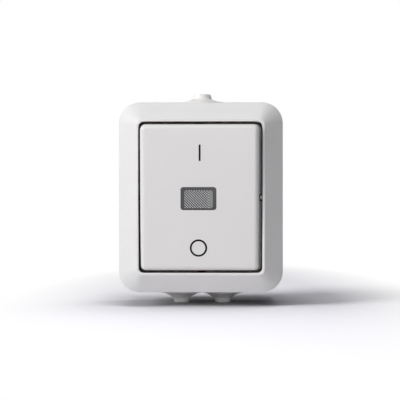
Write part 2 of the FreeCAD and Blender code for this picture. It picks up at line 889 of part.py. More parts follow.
def make_rocker_ribs():
    """Stiffening ribs under the plate."""
    ribs = []
    end = rocker_under_depth - rocker_rib_height
    half = rocker_rib_thickness / 2
    side_z = rocker_length / 2 - rocker_wall / 2
    side_x = rocker_width / 2 - rocker_wall / 2
    clip_outer = actuator_width / 2 + clip_gap + clip_thickness
    for side in (1, -1):
        x = side * (clip_outer + rocker_rib_gap + half)
        ribs.append(block(x - half, x + half, end, rocker_under_depth, -side_z, side_z))
        z = side * (actuator_height / 2 + side_z) / 2
        left = rocker_shift - side_x
        right = rocker_shift + side_x
        ribs.append(block(left, right, end, rocker_under_depth, z - half, z + half))
    return ribs


def make_rocker_clips():
    """Four hooks that hold the actuator under the plate."""
    clips = []
    end = actuator_rear_depth - clip_gap
    for sx in (1, -1):
        for sz in (1, -1):
            inner = actuator_width / 2 + clip_gap
            outer = inner + clip_thickness
            z0 = sz * clip_spacing / 2 - clip_width / 2
            z1 = z0 + clip_width
            clips.append(block(sx * inner, sx * outer, end - clip_hook, rocker_under_depth, z0, z1))
            clips.append(block(sx * (inner - clip_nose), sx * inner, end - clip_hook, end, z0, z1))
    return clips


def make_window_cuts():
    """Window opening and the rebate for the lens behind it."""
    z = -window_drop
    rear = rocker_under_depth - cut_margin
    front = face_depth + cut_margin
    hole = slab(window_width, window_height, window_corner_radius, rear, front, window_x, z)
    margin = 2 * (lens_flange_margin + lens_fit)
    radius = window_corner_radius + lens_flange_margin
    rebate = slab(window_width + margin, window_height + margin, radius, rear, lens_flange_depth, window_x, z)
    return [hole, rebate]


def make_window_lens():
    """Clear lens with a raised panel and a flange behind the plate."""
    margin = 2 * lens_flange_margin
    front = lens_flange_depth
    rear = front - lens_flange_thickness
    z = -window_drop
    radius = window_corner_radius + lens_flange_margin
    flange = slab(window_width + margin, window_height + margin, radius, rear, front, window_x, z)
    panel = slab(
        lens_panel_width,
        lens_panel_height,
        lens_panel_radius,
        front - bite,
        face_depth - lens_panel_below_face,
        window_x,
        z - lens_panel_drop,
    )
    return tilted(joined(flange, panel))


def make_actuator():
    """Carrier with its rim, neck, light tunnel and two plunger tubes."""
    rear = actuator_rear_depth
    front = rocker_under_depth
    plate = slab(actuator_width, actuator_height, actuator_corner_radius, rear, front)
    dish = slab(
        actuator_width - 2 * actuator_rim,
        actuator_height - 2 * actuator_rim,
        actuator_corner_radius - actuator_rim,
        actuator_face_depth,
        front + cut_margin,
    )
    plate = without(plate, dish)
    neck = slab(neck_width, neck_height, neck_radius, neck_end_depth, rear + bite)
    neck_hollow = slab(
        neck_width - 2 * neck_wall,
        neck_height - 2 * neck_wall,
        neck_radius - neck_wall,
        neck_end_depth - cut_margin,
        rear,
    )
    body = joined(plate, without(neck, neck_hollow))
    window = slab(light_hole_width, light_hole_height, light_hole_radius, neck_end_depth, front + cut_margin)
    tubes = []
    bores = []
    bore_radius = plunger_radius + plunger_fit
    for side in (1, -1):
        x = side * pole_x
        tubes.append(rod_y(tube_outer_radius, neck_end_depth, rear + bite, x, 0))
        bores.append(rod_y(bore_radius, neck_end_depth - cut_margin, tube_roof_depth, x, 0))
    body = joined(body, *tubes)
    return tilted(without(body, window, *bores))


def make_plunger(x):
    """Spring-loaded plunger with a hollow guide and a round tip."""
    guide_end = plunger_top_depth - plunger_guide_length
    shoulder = guide_end - plunger_pin_step
    guide = rod_y(plunger_radius, guide_end, plunger_top_depth, x, 0)
    cone = turned_forward(
        [(0, shoulder), (plunger_pin_radius, shoulder), (plunger_radius, guide_end), (0, guide_end)], x, 0
    )
    tip_middle = plunger_tip_depth + plunger_pin_radius
    pin = rod_y(plunger_pin_radius, tip_middle, shoulder, x, 0)
    tip = Part.makeSphere(plunger_pin_radius, point(x, tip_middle, 0))
    body = joined(guide, cone, pin, tip)
    bore = rod_y(spring_bore_radius, spring_bore_end, plunger_top_depth + cut_margin, x, 0)
    return tilted(without(body, bore))


def make_plunger_spring(x):
    """Coil between the plunger's bore and the roof of its tube."""
    spring = coil(
        plunger_spring_radius,
        plunger_spring_wire,
        plunger_spring_turns,
        spring_bore_end,
        tube_roof_depth,
        x,
        0,
    )
    return tilted(spring)


def make_actuator_seal():
    """Bellows with a flat flange, one fold and a collar round the neck."""
    t = bellows_thickness
    rear = floor_depth - t
    fold_w = bellows_inner_width
    fold_h = bellows_inner_height
    flange = slab(bellows_flange_width, bellows_flange_height, bellows_corner_radius, rear, floor_depth)
    fold_top = floor_depth + bellows_fold_height
    hump = slab(fold_w, fold_h, bellows_corner_radius - bellows_corner_step, rear, fold_top)
    body = joined(flange, hump)
    crest = flat_edges(body, fold_top)
    body = body.makeFillet(bellows_fold_width / 2 - bellows_fold_flat, crest)
    inner_radius = bellows_corner_radius - t
    hollow = slab(fold_w - 2 * t, fold_h - 2 * t, inner_radius, rear - cut_margin, fold_top - t)
    gap = bellows_collar_gap
    wide = neck_width + 2 * gap
    tall = neck_height + 2 * gap
    low = rear - bellows_collar_reach
    high = fold_top + cut_margin
    hole = tilted(slab(wide, tall, neck_radius + gap, low, high))
    tube = tilted(slab(wide + 2 * t, tall + 2 * t, neck_radius + gap + t, low, high))
    tube = tube.common(slab(fold_w, fold_h, bellows_corner_radius, rear, fold_top))
    hollow = without(hollow, tube)
    return without(body, hollow, hole)


def make_insert_base():
    """Rear half of the insert, with the contact and terminal chambers."""
    body = slab(insert_width, insert_height, insert_corner_radius, insert_back_depth, insert_split_depth)
    front = insert_split_depth + cut_margin
    inner_radius = insert_corner_radius / 2
    hollow = slab(insert_inner_width, insert_inner_height, inner_radius, insert_floor_depth, front)
    body = without(body, hollow)
    adds = []
    cuts = []
    post_start = insert_floor_depth - bite
    for side in (1, -1):
        adds.extend(make_pole_walls(side))
        adds.append(rod_y(release_post_radius, post_start, release_spring_seat, side * slider_x, 0))
        cuts.extend(make_pole_cuts(side))
    body = joined(body, *adds)
    body = without(body, *cuts)
    ears = []
    holes = []
    ear_end = ear_depth + ear_thickness
    hole_radius = screw_shank_radius + screw_hole_clearance
    for x, z in insert_screw_spots():
        root = math.copysign(insert_height / 2 - insert_wall + bite, z)
        ears.append(rod_y(ear_radius, ear_depth, ear_end, x, z))
        ears.append(block(x - ear_radius, x + ear_radius, ear_depth, ear_end, root, z))
        holes.append(rod_y(hole_radius, ear_depth - cut_margin, ear_end + cut_margin, x, z))
    body = joined(body, *ears, *make_latch_lugs())
    return without(body, *holes)


def make_pole_walls(side):
    """Two partitions on one side and the pad that stops the open lever."""
    walls = []
    low = insert_floor_depth - bite
    reach = insert_inner_height / 2 + bite
    for near in (pole_partition_inner, pole_partition_outer):
        x0 = side * near
        x1 = side * (near + partition_thickness)
        walls.append(block(x0, x1, low, insert_split_depth, -reach, reach))
    x0 = side * pole_channel_start
    x1 = side * pole_partition_outer
    stop_front = stop_face_depth()
    half = stop_width / 2
    walls.append(block(x0, x1, stop_front - stop_height, stop_front, stop_z - half, stop_z + half))
    return walls


def make_pole_cuts(side):
    """Openings on one side for the bars' arms, the wires and the lamp's wire."""
    cuts = []
    x0 = side * (pole_partition_outer - bar_arm_clearance)
    x1 = side * (pole_partition_outer + partition_thickness + bar_arm_clearance)
    arm_top = bar_front_depth + bar_arm_clearance
    wall_inner = insert_inner_height / 2 - bite
    wall_outer = insert_height / 2 + cut_margin
    for end in (1, -1):
        z0 = end * (bar_arm_start - bar_arm_clearance)
        z1 = end * (bar_reach + bar_arm_clearance)
        cuts.append(block(x0, x1, insert_floor_depth, arm_top, z0, z1))
        x = side * wire_port_x
        cuts.append(rod_z(wire_port_radius, end * wall_inner, end * wall_outer, x, wire_port_depth))
        cuts.append(wire_port_funnel(x, end))
    x0 = side * (pole_partition_inner - bite)
    x1 = side * (pole_channel_start + bite)
    z0 = lead_bar_z - lead_notch
    z1 = lead_bar_z + lead_notch
    cuts.append(block(x0, x1, insert_floor_depth, lead_turn_depth + lead_notch, z0, z1))
    return cuts


def wire_port_funnel(x, end):
    """Countersink that leads a wire into its port."""
    outer = end * (insert_height / 2 + bite)
    inner = end * (insert_height / 2 - wire_port_flare_depth)
    narrow = wire_port_radius
    wide = wire_port_radius + wire_port_flare
    profile = [(0, inner), (narrow, inner), (wide, outer), (0, outer)]
    return turned_upright(profile, x, wire_port_depth)


def make_latch_lugs():
    """Wedges on the sides that the cover's latches snap over."""
    lugs = []
    start = insert_split_depth - latch_length + latch_catch_start
    end = start + latch_catch_start
    for side in (1, -1):
        for z in (latch_z, -latch_z):
            wall = side * insert_width / 2
            root = wall - side * bite
            corners = [(root, start), (wall + side * latch_catch, start), (wall, end), (root, end)]
            loop = [point(x, depth, z - latch_width / 4) for x, depth in corners]
            face = Part.Face(Part.makePolygon(loop + [loop[0]]))
            lugs.append(face.extrude(FreeCAD.Vector(0, 0, latch_width / 2)))
    return lugs


def make_insert_cover():
    """Front half of the insert, with plunger slots, rim and latches."""
    body = slab(insert_width, insert_height, insert_corner_radius, insert_split_depth, insert_front_depth)
    rear = insert_split_depth - cut_margin
    hollow = slab(insert_inner_width, insert_inner_height, insert_corner_radius / 2, rear, insert_roof_depth)
    body = without(body, hollow)
    rim = slab(insert_rim_width, insert_rim_length, insert_rim_radius, insert_roof_depth, insert_rim_depth)
    rim_hollow = slab(
        insert_rim_width - 2 * insert_rim_wall,
        insert_rim_length - 2 * insert_rim_wall,
        insert_rim_radius - insert_rim_wall,
        insert_front_depth,
        insert_rim_depth + cut_margin,
    )
    body = joined(body, without(rim, rim_hollow))
    low = insert_roof_depth - cut_margin
    high = insert_front_depth + cut_margin
    head = slider_height / 2 + slider_play
    cuts = []
    adds = []
    for side in (1, -1):
        x = side * pole_x
        cuts.append(slab(plunger_slot_width, plunger_slot_height, plunger_slot_radius, low, high, x))
        x0 = side * (slider_x - slider_width / 2 - slider_play)
        x1 = side * (slider_x + slider_width / 2 + slider_play)
        cuts.append(block(x0, x1, low, high, -head, head))
        cuts.append(rod_y(lead_radius + lead_clearance, low, high, side * lead_x, lead_z))
        for z in (latch_z, -latch_z):
            adds.append(make_latch(side, z))
    body = joined(body, *adds)
    return without(body, *cuts)


def make_latch(side, z):
    """Arm that reaches down the insert's side, with a window for the lug."""
    wall = side * insert_width / 2
    inner = wall + side * latch_gap
    outer = inner + side * latch_thickness
    start = insert_split_depth - latch_length
    end = insert_front_depth - latch_end
    half = latch_width / 2
    arm = block(inner, outer, start, end, z - half, z + half)
    root = block(wall, outer, insert_split_depth + latch_root, end, z - half, z + half)
    half = latch_width / 4 + latch_window_gap
    low = start + latch_catch_start - latch_window_gap
    near = inner - side * cut_margin
    far = outer + side * cut_margin
    window = block(near, far, low, low + latch_window, z - half, z + half)
    return without(joined(arm, root), window)


def stop_face_depth():
    """Depth of the pad on which the open lever's upper arm rests."""
    angle = math.radians(lever_tilt)
    lift = lever_rise * math.cos(angle)
    drop = (stop_z + stop_width / 2) * math.sin(angle)
    return lever_pivot_depth + lift - drop - contact_touch_gap


def contact_face_depth():
    """Depth of the fixed contact's face, which the closed lever nearly touches."""
    angle = math.radians(lever_tilt)
    lift = (lever_rise - contact_height) * math.cos(angle)
    drop = (contact_z + contact_radius) * math.sin(angle)
    return lever_pivot_depth + lift - drop - contact_touch_gap


def make_contact_lever():
    """Right-hand rocking contact with its saddle, arms and silver button."""
    rear = lever_pivot_depth + lever_rise
    half = lever_length / 2
    x0 = pole_x - lever_width / 2
    x1 = pole_x + lever_width / 2
    strip = block(x0, x1, rear, lever_front_depth, -half, half)
    corners = [edge for edge in strip.Edges if abs(edge.BoundBox.YLength - lever_thickness) < 1e-3]
    strip = strip.makeFillet(lever_width / 4, corners)
    saddle_rear = lever_pivot_depth - lever_saddle_drop
    half = lever_saddle / 2
    saddle = block(x0, x1, saddle_rear, lever_front_depth, -half, half)
    button = rod_y(contact_radius, rear - contact_height, rear, pole_x, -contact_z)
    button = button.makeFillet(contact_height / 3, flat_edges(button, rear - contact_height))
    body = joined(strip, saddle, button)
    groove = rod_x(lever_groove_radius, 0, 2 * pole_x, lever_pivot_depth, 0)
    r = lever_groove_radius
    mouth = block(0, 2 * pole_x, saddle_rear - cut_margin, lever_pivot_depth, -r, r)
    return rocked(without(body, groove, mouth))


def make_common_bar():
    """Right-hand bar with the lever's pivot ridge and the upper terminal plate."""
    x0 = pole_x - bar_width / 2
    x1 = pole_x + bar_width / 2
    floor = insert_floor_depth
    half = ridge_base_width / 2
    foot = block(x0, x1, floor, bar_front_depth, -half, bar_reach)
    neck = block(x0, x1, floor, lever_pivot_depth, -ridge_neck / 2, ridge_neck / 2)
    base = block(x0, x1, floor, lever_pivot_depth - ridge_base_drop, -half, half)
    ridge = rod_x(ridge_radius, x0, x1, lever_pivot_depth, 0)
    arm = block(x1, terminal_plate_x + bar_thickness, floor, bar_front_depth, bar_arm_start, bar_reach)
    return joined(foot, neck, base, ridge, arm, make_terminal_plate(1))


def make_terminal_plate(end):
    """Upright plate against which a clamp spring presses the wire."""
    x0 = terminal_plate_x
    x1 = terminal_plate_x + bar_thickness
    corners = [
        (insert_floor_depth, end * terminal_plate_start),
        (terminal_plate_depth - terminal_corner, end * terminal_plate_start),
        (terminal_plate_depth, end * (terminal_plate_start + terminal_corner)),
        (terminal_plate_depth, end * bar_reach),
        (insert_floor_depth, end * bar_reach),
    ]
    return plate_side(corners, x0, x1)


def make_switched_bar():
    """Right-hand bar with the fixed contact and the lower terminal plate."""
    x0 = pole_x - bar_width / 2
    x1 = pole_x + bar_width / 2
    floor = insert_floor_depth
    top = contact_face_depth() - contact_height
    riser_end = -riser_z - bar_thickness
    foot = block(x0, x1, floor, bar_front_depth, -bar_reach, -riser_z)
    riser = block(x0, x1, floor, top, riser_end, -riser_z)
    shelf = block(x0, x1, top - bar_thickness, top, riser_end, -contact_z + contact_radius + shelf_end)
    button = rod_y(contact_radius, top, top + contact_height, pole_x, -contact_z)
    arm = block(x1, terminal_plate_x + bar_thickness, floor, bar_front_depth, -bar_reach, -bar_arm_start)
    return joined(foot, riser, shelf, button, arm, make_terminal_plate(-1))


def make_clamp_spring(end):
    """Right-hand bent leaf that presses the wire on its terminal plate."""
    t = clamp_leaf
    x0 = clamp_anchor_x
    x1 = clamp_anchor_x + clamp_loop_width
    tip_x = terminal_plate_x - clamp_tip_gap
    anchor_top = bar_reach + clamp_anchor_rise
    loop_outer = clamp_loop_z - clamp_loop_corner
    loop_inner = loop_outer + t
    rise = clamp_loop_z + clamp_loop_inner_rise
    outside = [
        (x0, anchor_top),
        (x0, clamp_loop_z),
        (x0 + clamp_loop_corner, loop_outer),
        (x1 - clamp_loop_shoulder, loop_outer),
        (x1, clamp_loop_z),
        (tip_x, clamp_tip_z),
    ]
    inside = [
        (tip_x - t, clamp_tip_z),
        (x1 - t, rise),
        (x1 - clamp_loop_shoulder - t / 2, loop_inner),
        (x0 + clamp_loop_corner + t / 2, loop_inner),
        (x0 + t, rise),
        (x0 + t, anchor_top),
    ]
    corners = [(x, end * z) for x, z in outside + inside]
    return plate_xz(corners, clamp_depth_start, clamp_depth_end)


def make_release_slider():
    """Right-hand slider with its head, two arms and wedge fingers."""
    x0 = slider_x - slider_width / 2
    x1 = slider_x + slider_width / 2
    half = slider_height / 2
    head_end = insert_front_depth + slider_head
    head = block(x0, x1, slider_body_start, head_end, -half, half)
    head = head.makeFillet(slider_head_rounding, flat_edges(head, head_end))
    far = slider_arm_z + slider_arm_width / 2
    spine = block(x0, x1 - slider_spine_step, slider_body_start, slider_body_end, -far, far)
    notch = slab(
        slider_width + cut_margin,
        slider_height / 3,
        slider_notch_radius,
        head_end - slider_notch_depth,
        head_end + cut_margin,
        slider_x,
    )
    pieces = [spine]
    for end in (1, -1):
        z0 = end * slider_arm_z - slider_arm_width / 2
        z1 = z0 + slider_arm_width
        pieces.append(block(slider_finger_x, x0 + bite, slider_body_start, slider_body_end, z0, z1))
        pieces.append(make_slider_finger(z0))
    return without(joined(head, *pieces), notch)


def make_slider_finger(z):
    """Finger that reaches down to the clamp spring, with a bevelled end."""
    inner = slider_finger_x
    outer = slider_finger_x + slider_finger_thickness
    corners = [
        (inner, slider_body_end),
        (inner, slider_finger_end + slider_finger_bevel),
        (outer - slider_finger_tip, slider_finger_end),
        (outer, slider_finger_end),
        (outer, slider_body_end),
    ]
    loop = [point(x, depth, z) for x, depth in corners]
    face = Part.Face(Part.makePolygon(loop + [loop[0]]))
    return face.extrude(FreeCAD.Vector(0, 0, slider_arm_width))


def make_release_spring():
    """Right-hand coil that pushes the release slider back out."""
    return coil(
        release_spring_radius,
        release_spring_wire,
        release_spring_turns,
        release_spring_seat,
        slider_body_start,
        slider_x,
        0,
    )


def make_lamp_board():
    """Small board on the insert's front that carries the lamp."""
    board = slab(lamp_board_width, lamp_board_height, lamp_board_radius, insert_front_depth, lamp_board_front)
    low = insert_front_depth - cut_margin
    high = lamp_board_front + cut_margin
    holes = []
    for side in (1, -1):
        holes.append(rod_y(lead_radius, low, high, side * lead_x, lead_z))
    return without(board, *holes)


def make_lamp():
    """Round lamp with a collar and a domed end."""
    start = lamp_board_front
    r = lamp_radius
    dome_middle = start + lamp_length - r
    collar = rod_y(r + lamp_base_step, start, start + lamp_base_height, 0, 0)
    body = rod_y(r, start, dome_middle, 0, 0)
    dome = Part.makeSphere(r, point(0, dome_middle, 0))
    return joined(collar, body, dome)


def make_lamp_resistor():
    """Small round resistor beside the lamp."""
    cap_radius = resistor_radius + resistor_cap
    middle = lamp_board_front + cap_radius
    z = lamp_radius + lamp_base_step + resistor_gap + cap_radius
    body = rod_x(resistor_radius, -resistor_length / 2, resistor_length / 2, middle, z)
    caps = []
    for side in (1, -1):
        end = side * resistor_length / 2
        caps.append(rod_x(cap_radius, end, end - side * resistor_cap_length, middle, z))
    return joined(body, *caps)


def make_lamp_lead():
    """Right-hand wire from the lamp board to the switched bar."""
    r = lead_radius
    bar_edge = pole_x - bar_width / 2
    down = rod_y(r, lead_turn_depth, lamp_board_front + lead_solder, lead_x, lead_z)
    along = rod_z(r, lead_z, lead_bar_z, lead_x, lead_turn_depth)
    out = rod_x(r, lead_x, bar_edge, lead_turn_depth, lead_bar_z)
    bends = [
        Part.makeSphere(r, point(lead_x, lead_turn_depth, lead_z)),
        Part.makeSphere(r, point(lead_x, lead_turn_depth, lead_bar_z)),
    ]
    return joined(down, along, out, *bends)


def make_entry_nozzle(x, side):
    """Soft cable entry with its clip groove, bell and stepped stub."""
    top = side > 0
    flange = top_flange_radius if top else bottom_flange_radius
    edge = top_flange_edge if top else bottom_flange_edge
    root = top_stub_root_radius if top else bottom_stub_root_radius
    tip = top_stub_end_radius if top else bottom_stub_end_radius
    bore = top_bore_radius if top else bottom_bore_radius
    cone_z = cover_height / 2 + (top_cone_rise if top else bottom_cone_rise)
    end_z = cover_height / 2 + (top_stub_reach if top else bottom_stub_reach)
    neck = entry_port_radius - entry_fit
    lip_z = entry_pad_inner - entry_lip_thickness
    shoulder = entry_pad_outer + edge
    profile = [
        (neck - entry_wall, lip_z),
        (entry_lip_radius - entry_lip_lead, lip_z),
        (entry_lip_radius, entry_pad_inner),
        (neck, entry_pad_inner),
        (neck, entry_pad_outer),
        (flange, entry_pad_outer),
        (flange, shoulder),
    ]
    profile.extend(bell_curve(flange, shoulder, root, cone_z))
    profile.append((root, cone_z))
    profile.append((tip, end_z - entry_end_chamfer))
    profile.append((tip - entry_end_chamfer, end_z))
    profile.append((bore, end_z))
    profile.append((bore, end_z - entry_bore_length))
    profile.append((neck - entry_wall, entry_pad_outer))
    return turned_upright([(r, side * z) for r, z in profile], x, entry_depth)


def bell_curve(radius0, z0, radius1, z1):
    """Points of the hollow curve between the flange and the stub."""
    points = []
    for i in range(1, bell_steps):
        share = i / bell_steps
        rise = share ** bell_power
        points.append((radius0 + (radius1 - radius0) * share, z0 + (z1 - z0) * rise))
    return points


def make_screw(head_depth, x, z, core_end):
    """Round-headed screw with a smooth shank, a core and a driver slot."""
    top = head_depth + screw_head_height
    head = rod_y(screw_head_radius, head_depth, top, x, z)
    head = head.makeChamfer(screw_head_height / 3, flat_edges(head, top))
    shank = rod_y(screw_core_radius, core_end, head_depth, x, z)
    half = slot_width / 2
    reach = screw_head_radius + cut_margin
    slot = block(x - reach, x + reach, top - slot_depth, top + cut_margin, z - half, z + half)
    return without(joined(head, shank), slot)


def make_cover_screw(side):
    """Screw from the cover's floor into the base's pillar."""
    return make_screw(cover_screw_depth, 0, side * cover_screw_z, cover_pillar_depth - screw_depth_in_pillar)


def make_insert_screw(spot):
    """Screw from the insert's ear into the base's pillar."""
    x, z = spot
    return make_screw(ear_depth + ear_thickness, x, z, ear_depth - screw_depth_in_pillar)


def make_earth_block():
    """Brass block with two wire holes and two screw holes."""
    half_w = earth_width / 2
    half_h = earth_height / 2
    low = earth_z - half_h
    high = earth_z + half_h
    body = block(earth_x - half_w, earth_x + half_w, earth_seat, earth_end_depth, low, high)
    middle = earth_seat + earth_wire_level
    screw_hole = earth_screw_radius + pilot_clearance
    holes = []
    for side in (1, -1):
        x = earth_x + side * earth_screw_offset
        holes.append(rod_z(earth_wire_radius, low - cut_margin, high + cut_margin, x, middle))
        holes.append(rod_y(screw_hole, middle, earth_end_depth + cut_margin, x, earth_z))
    return without(body, *holes)


def make_earth_screw(side):
    """Small slotted screw of the earth terminal."""
    x = earth_x + side * earth_screw_offset
    r = earth_screw_radius
    head_start = earth_end_depth + earth_screw_rise
    head_end = head_start + earth_screw_head
    shank = rod_y(r, head_end - earth_screw_length, head_end, x, earth_z)
    head_radius = r + earth_screw_head_step
    head = rod_y(head_radius, head_start, head_end, x, earth_z)
    half = earth_slot_width / 2
    reach = head_radius + cut_margin
    low = earth_z - half
    high = earth_z + half
    slot = block(x - reach, x + reach, head_end - earth_slot_depth, head_end + cut_margin, low, high)
    return without(joined(shank, head), slot)


def main():
    os.makedirs("parts", exist_ok=True)
    save("base_box", make_base_box())
    save("cover_frame", make_cover_frame())
    save("rim_seal", make_rim_seal())
    save("rocker_plate", make_rocker_plate())
    save("window_lens", make_window_lens())
    save("actuator", make_actuator())
    save("actuator_seal", make_actuator_seal())
    save("insert_base", make_insert_base())
    save("insert_cover", make_insert_cover())
    for name, x in (("left", -pole_x), ("right", pole_x)):
        save("plunger_" + name, make_plunger(x))
        save("plunger_spring_" + name, make_plunger_spring(x))
    paired = {
        "contact_lever": make_contact_lever(),
        "common_bar": make_common_bar(),
        "switched_bar": make_switched_bar(),
        "clamp_spring_top": make_clamp_spring(1),
        "clamp_spring_bottom": make_clamp_spring(-1),
        "release_slider": make_release_slider(),
        "release_spring": make_release_spring(),
        "lamp_lead": make_lamp_lead(),
    }
    for name, shape in paired.items():
        save(name + "_right", shape)
        save(name + "_left", mirrored(shape))
    save("lamp_board", make_lamp_board())
    save("lamp", make_lamp())
    save("lamp_resistor", make_lamp_resistor())
    for name, x, side in entry_spots():
        save("entry_nozzle_" + name, make_entry_nozzle(x, side))
    save("cover_screw_top", make_cover_screw(1))
    save("cover_screw_bottom", make_cover_screw(-1))
    top_spot, bottom_spot = insert_screw_spots()
    save("insert_screw_top", make_insert_screw(top_spot))
    save("insert_screw_bottom", make_insert_screw(bottom_spot))
    save("earth_block", make_earth_block())
    save("earth_screw_left", make_earth_screw(-1))
    save("earth_screw_right", make_earth_screw(1))


main()
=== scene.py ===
import json
import math

import bmesh
import bpy
from mathutils import Matrix, Vector


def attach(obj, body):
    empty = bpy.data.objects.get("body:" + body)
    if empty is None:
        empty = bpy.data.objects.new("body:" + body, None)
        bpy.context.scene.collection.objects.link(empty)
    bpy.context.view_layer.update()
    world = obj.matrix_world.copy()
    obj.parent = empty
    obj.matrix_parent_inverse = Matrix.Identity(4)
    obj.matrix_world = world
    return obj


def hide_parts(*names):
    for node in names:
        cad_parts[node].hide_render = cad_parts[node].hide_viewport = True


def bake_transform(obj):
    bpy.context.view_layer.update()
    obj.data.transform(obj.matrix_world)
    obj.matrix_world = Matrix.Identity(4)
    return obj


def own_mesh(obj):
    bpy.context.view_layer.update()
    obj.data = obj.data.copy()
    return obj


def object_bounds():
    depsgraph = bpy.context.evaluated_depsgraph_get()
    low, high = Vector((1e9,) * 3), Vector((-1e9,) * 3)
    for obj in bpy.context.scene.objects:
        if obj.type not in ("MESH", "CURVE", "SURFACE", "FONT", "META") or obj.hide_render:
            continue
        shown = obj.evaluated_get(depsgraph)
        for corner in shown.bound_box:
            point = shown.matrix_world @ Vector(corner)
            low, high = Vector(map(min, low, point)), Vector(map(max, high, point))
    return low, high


bl_info = {
    "name": "Outdoor Rocker Switch Looks",
    "version": (1, 0, 0),
    "blender": (4, 5, 0),
    "location": "3D View > Sidebar > Switch",
    "description": "Finishes, printed marks, prism lens and studio for a weatherproof rocker switch",
    "category": "Object",
}

# The frame holds the switch at its real size, in metres, with -Y to the front and +Z up.
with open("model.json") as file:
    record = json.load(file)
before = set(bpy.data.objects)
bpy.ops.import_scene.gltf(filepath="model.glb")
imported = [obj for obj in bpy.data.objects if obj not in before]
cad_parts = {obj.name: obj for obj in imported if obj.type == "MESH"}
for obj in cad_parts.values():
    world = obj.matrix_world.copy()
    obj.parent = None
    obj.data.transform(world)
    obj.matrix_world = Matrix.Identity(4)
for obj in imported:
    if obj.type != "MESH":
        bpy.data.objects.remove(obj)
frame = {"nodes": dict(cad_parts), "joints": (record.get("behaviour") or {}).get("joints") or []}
cad_low, cad_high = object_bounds()

MM = 0.001
SIDES = ("left", "right")

# The rocker rests tipped to one end of its travel, so it is level half the travel away.
hinge = next(joint for joint in frame["joints"] if joint["name"] == "rocker_hinge")
HINGE_POINT = Vector(hinge["pos_m"])
REST_TILT = math.radians(hinge["range_deg"][1]) / 2
TILT = (
    Matrix.Translation(HINGE_POINT)
    @ Matrix.Rotation(REST_TILT, 4, "X")
    @ Matrix.Translation(-HINGE_POINT)
)
LEVEL = TILT.inverted()


def level_points(node):
    """Corners of a rocker piece as they stand when the rocker is level."""
    return [LEVEL @ vertex.co for vertex in frame["nodes"][node].data.vertices]


def middle_and_size(points):
    """Middle and size, in x and z, of a flat outline."""
    if not points:
        raise RuntimeError("The window lens has no flat face at this depth")
    xs = [point.x for point in points]
    zs = [point.z for point in points]
    middle = ((min(xs) + max(xs)) / 2, (min(zs) + max(zs)) / 2)
    return middle, (max(xs) - min(xs), max(zs) - min(zs))


ROCKER_FACE = min(point.y for point in level_points("rocker_plate"))
LENS_CORNERS = level_points("window_lens")
LENS_FRONT = min(point.y for point in LENS_CORNERS)
LENS_REAR = max(point.y for point in LENS_CORNERS)
# A corner this near to the front or the rear of the lens belongs to its flat panel or flange.
LENS_SKIN = 0.02 * MM
PANEL = [point for point in LENS_CORNERS if point.y < LENS_FRONT + LENS_SKIN]
FLANGE = [point for point in LENS_CORNERS if point.y > LENS_REAR - LENS_SKIN]


# Colours and nodes

# Sockets of a mix node, whose names repeat.
FACTOR = 0
VALUE_A = 2
VALUE_B = 3
COLOUR_A = 6
COLOUR_B = 7
MIXED = 2

# A noise stays near one half, and fills about this span.
NOISE_LOW = 0.3
NOISE_HIGH = 0.7


def linear(code):
    """Linear red, green, blue and alpha for an sRGB hex colour, by the standard curve."""
    values = []
    for start in (1, 3, 5):
        share = int(code[start:start + 2], 16) / 255
        values.append(share / 12.92 if share <= 0.04045 else ((share + 0.055) / 1.055) ** 2.4)
    return (*values, 1.0)


def add(tree, kind, inputs=None, **settings):
    """Adds a node with its settings. An input is a value, or a node with its output's name or number."""
    node = tree.nodes.new(kind)
    for name, value in settings.items():
        setattr(node, name, value)
    for name, value in (inputs or {}).items():
        if isinstance(value, tuple) and isinstance(value[0], bpy.types.Node):
            tree.links.new(value[0].outputs[value[1]], node.inputs[name])
        else:
            node.inputs[name].default_value = value
    return node


def start_material(name):
    """Empty node material, its node tree, and the coordinates that move with the piece."""
    material = bpy.data.materials.new(name)
    material.use_nodes = True
    tree = material.node_tree
    tree.nodes.clear()
    place = add(tree, "ShaderNodeTexCoord")
    return material, tree, (place, "Object")


def finish_material(material, tree, shader):
    """Puts the shader on the surface."""
    add(tree, "ShaderNodeOutputMaterial", {"Surface": (shader, 0)})
    return material


def cells(size_mm):
    """Texture scale at which one cell is this wide, for coordinates in metres."""
    return 1.0 / (size_mm * MM)


# Materials

# Joints get painted shade, dark brown and without reflection, where they see less of the sky than the first
# share, and none above the second.
JOINT_PAINTED_SHADE = "#3C231C"
JOINT_SHUT = 0.54
JOINT_OPEN = 0.68
JOINT_SAMPLES = 8
PLASTIC_SHINE = 0.5


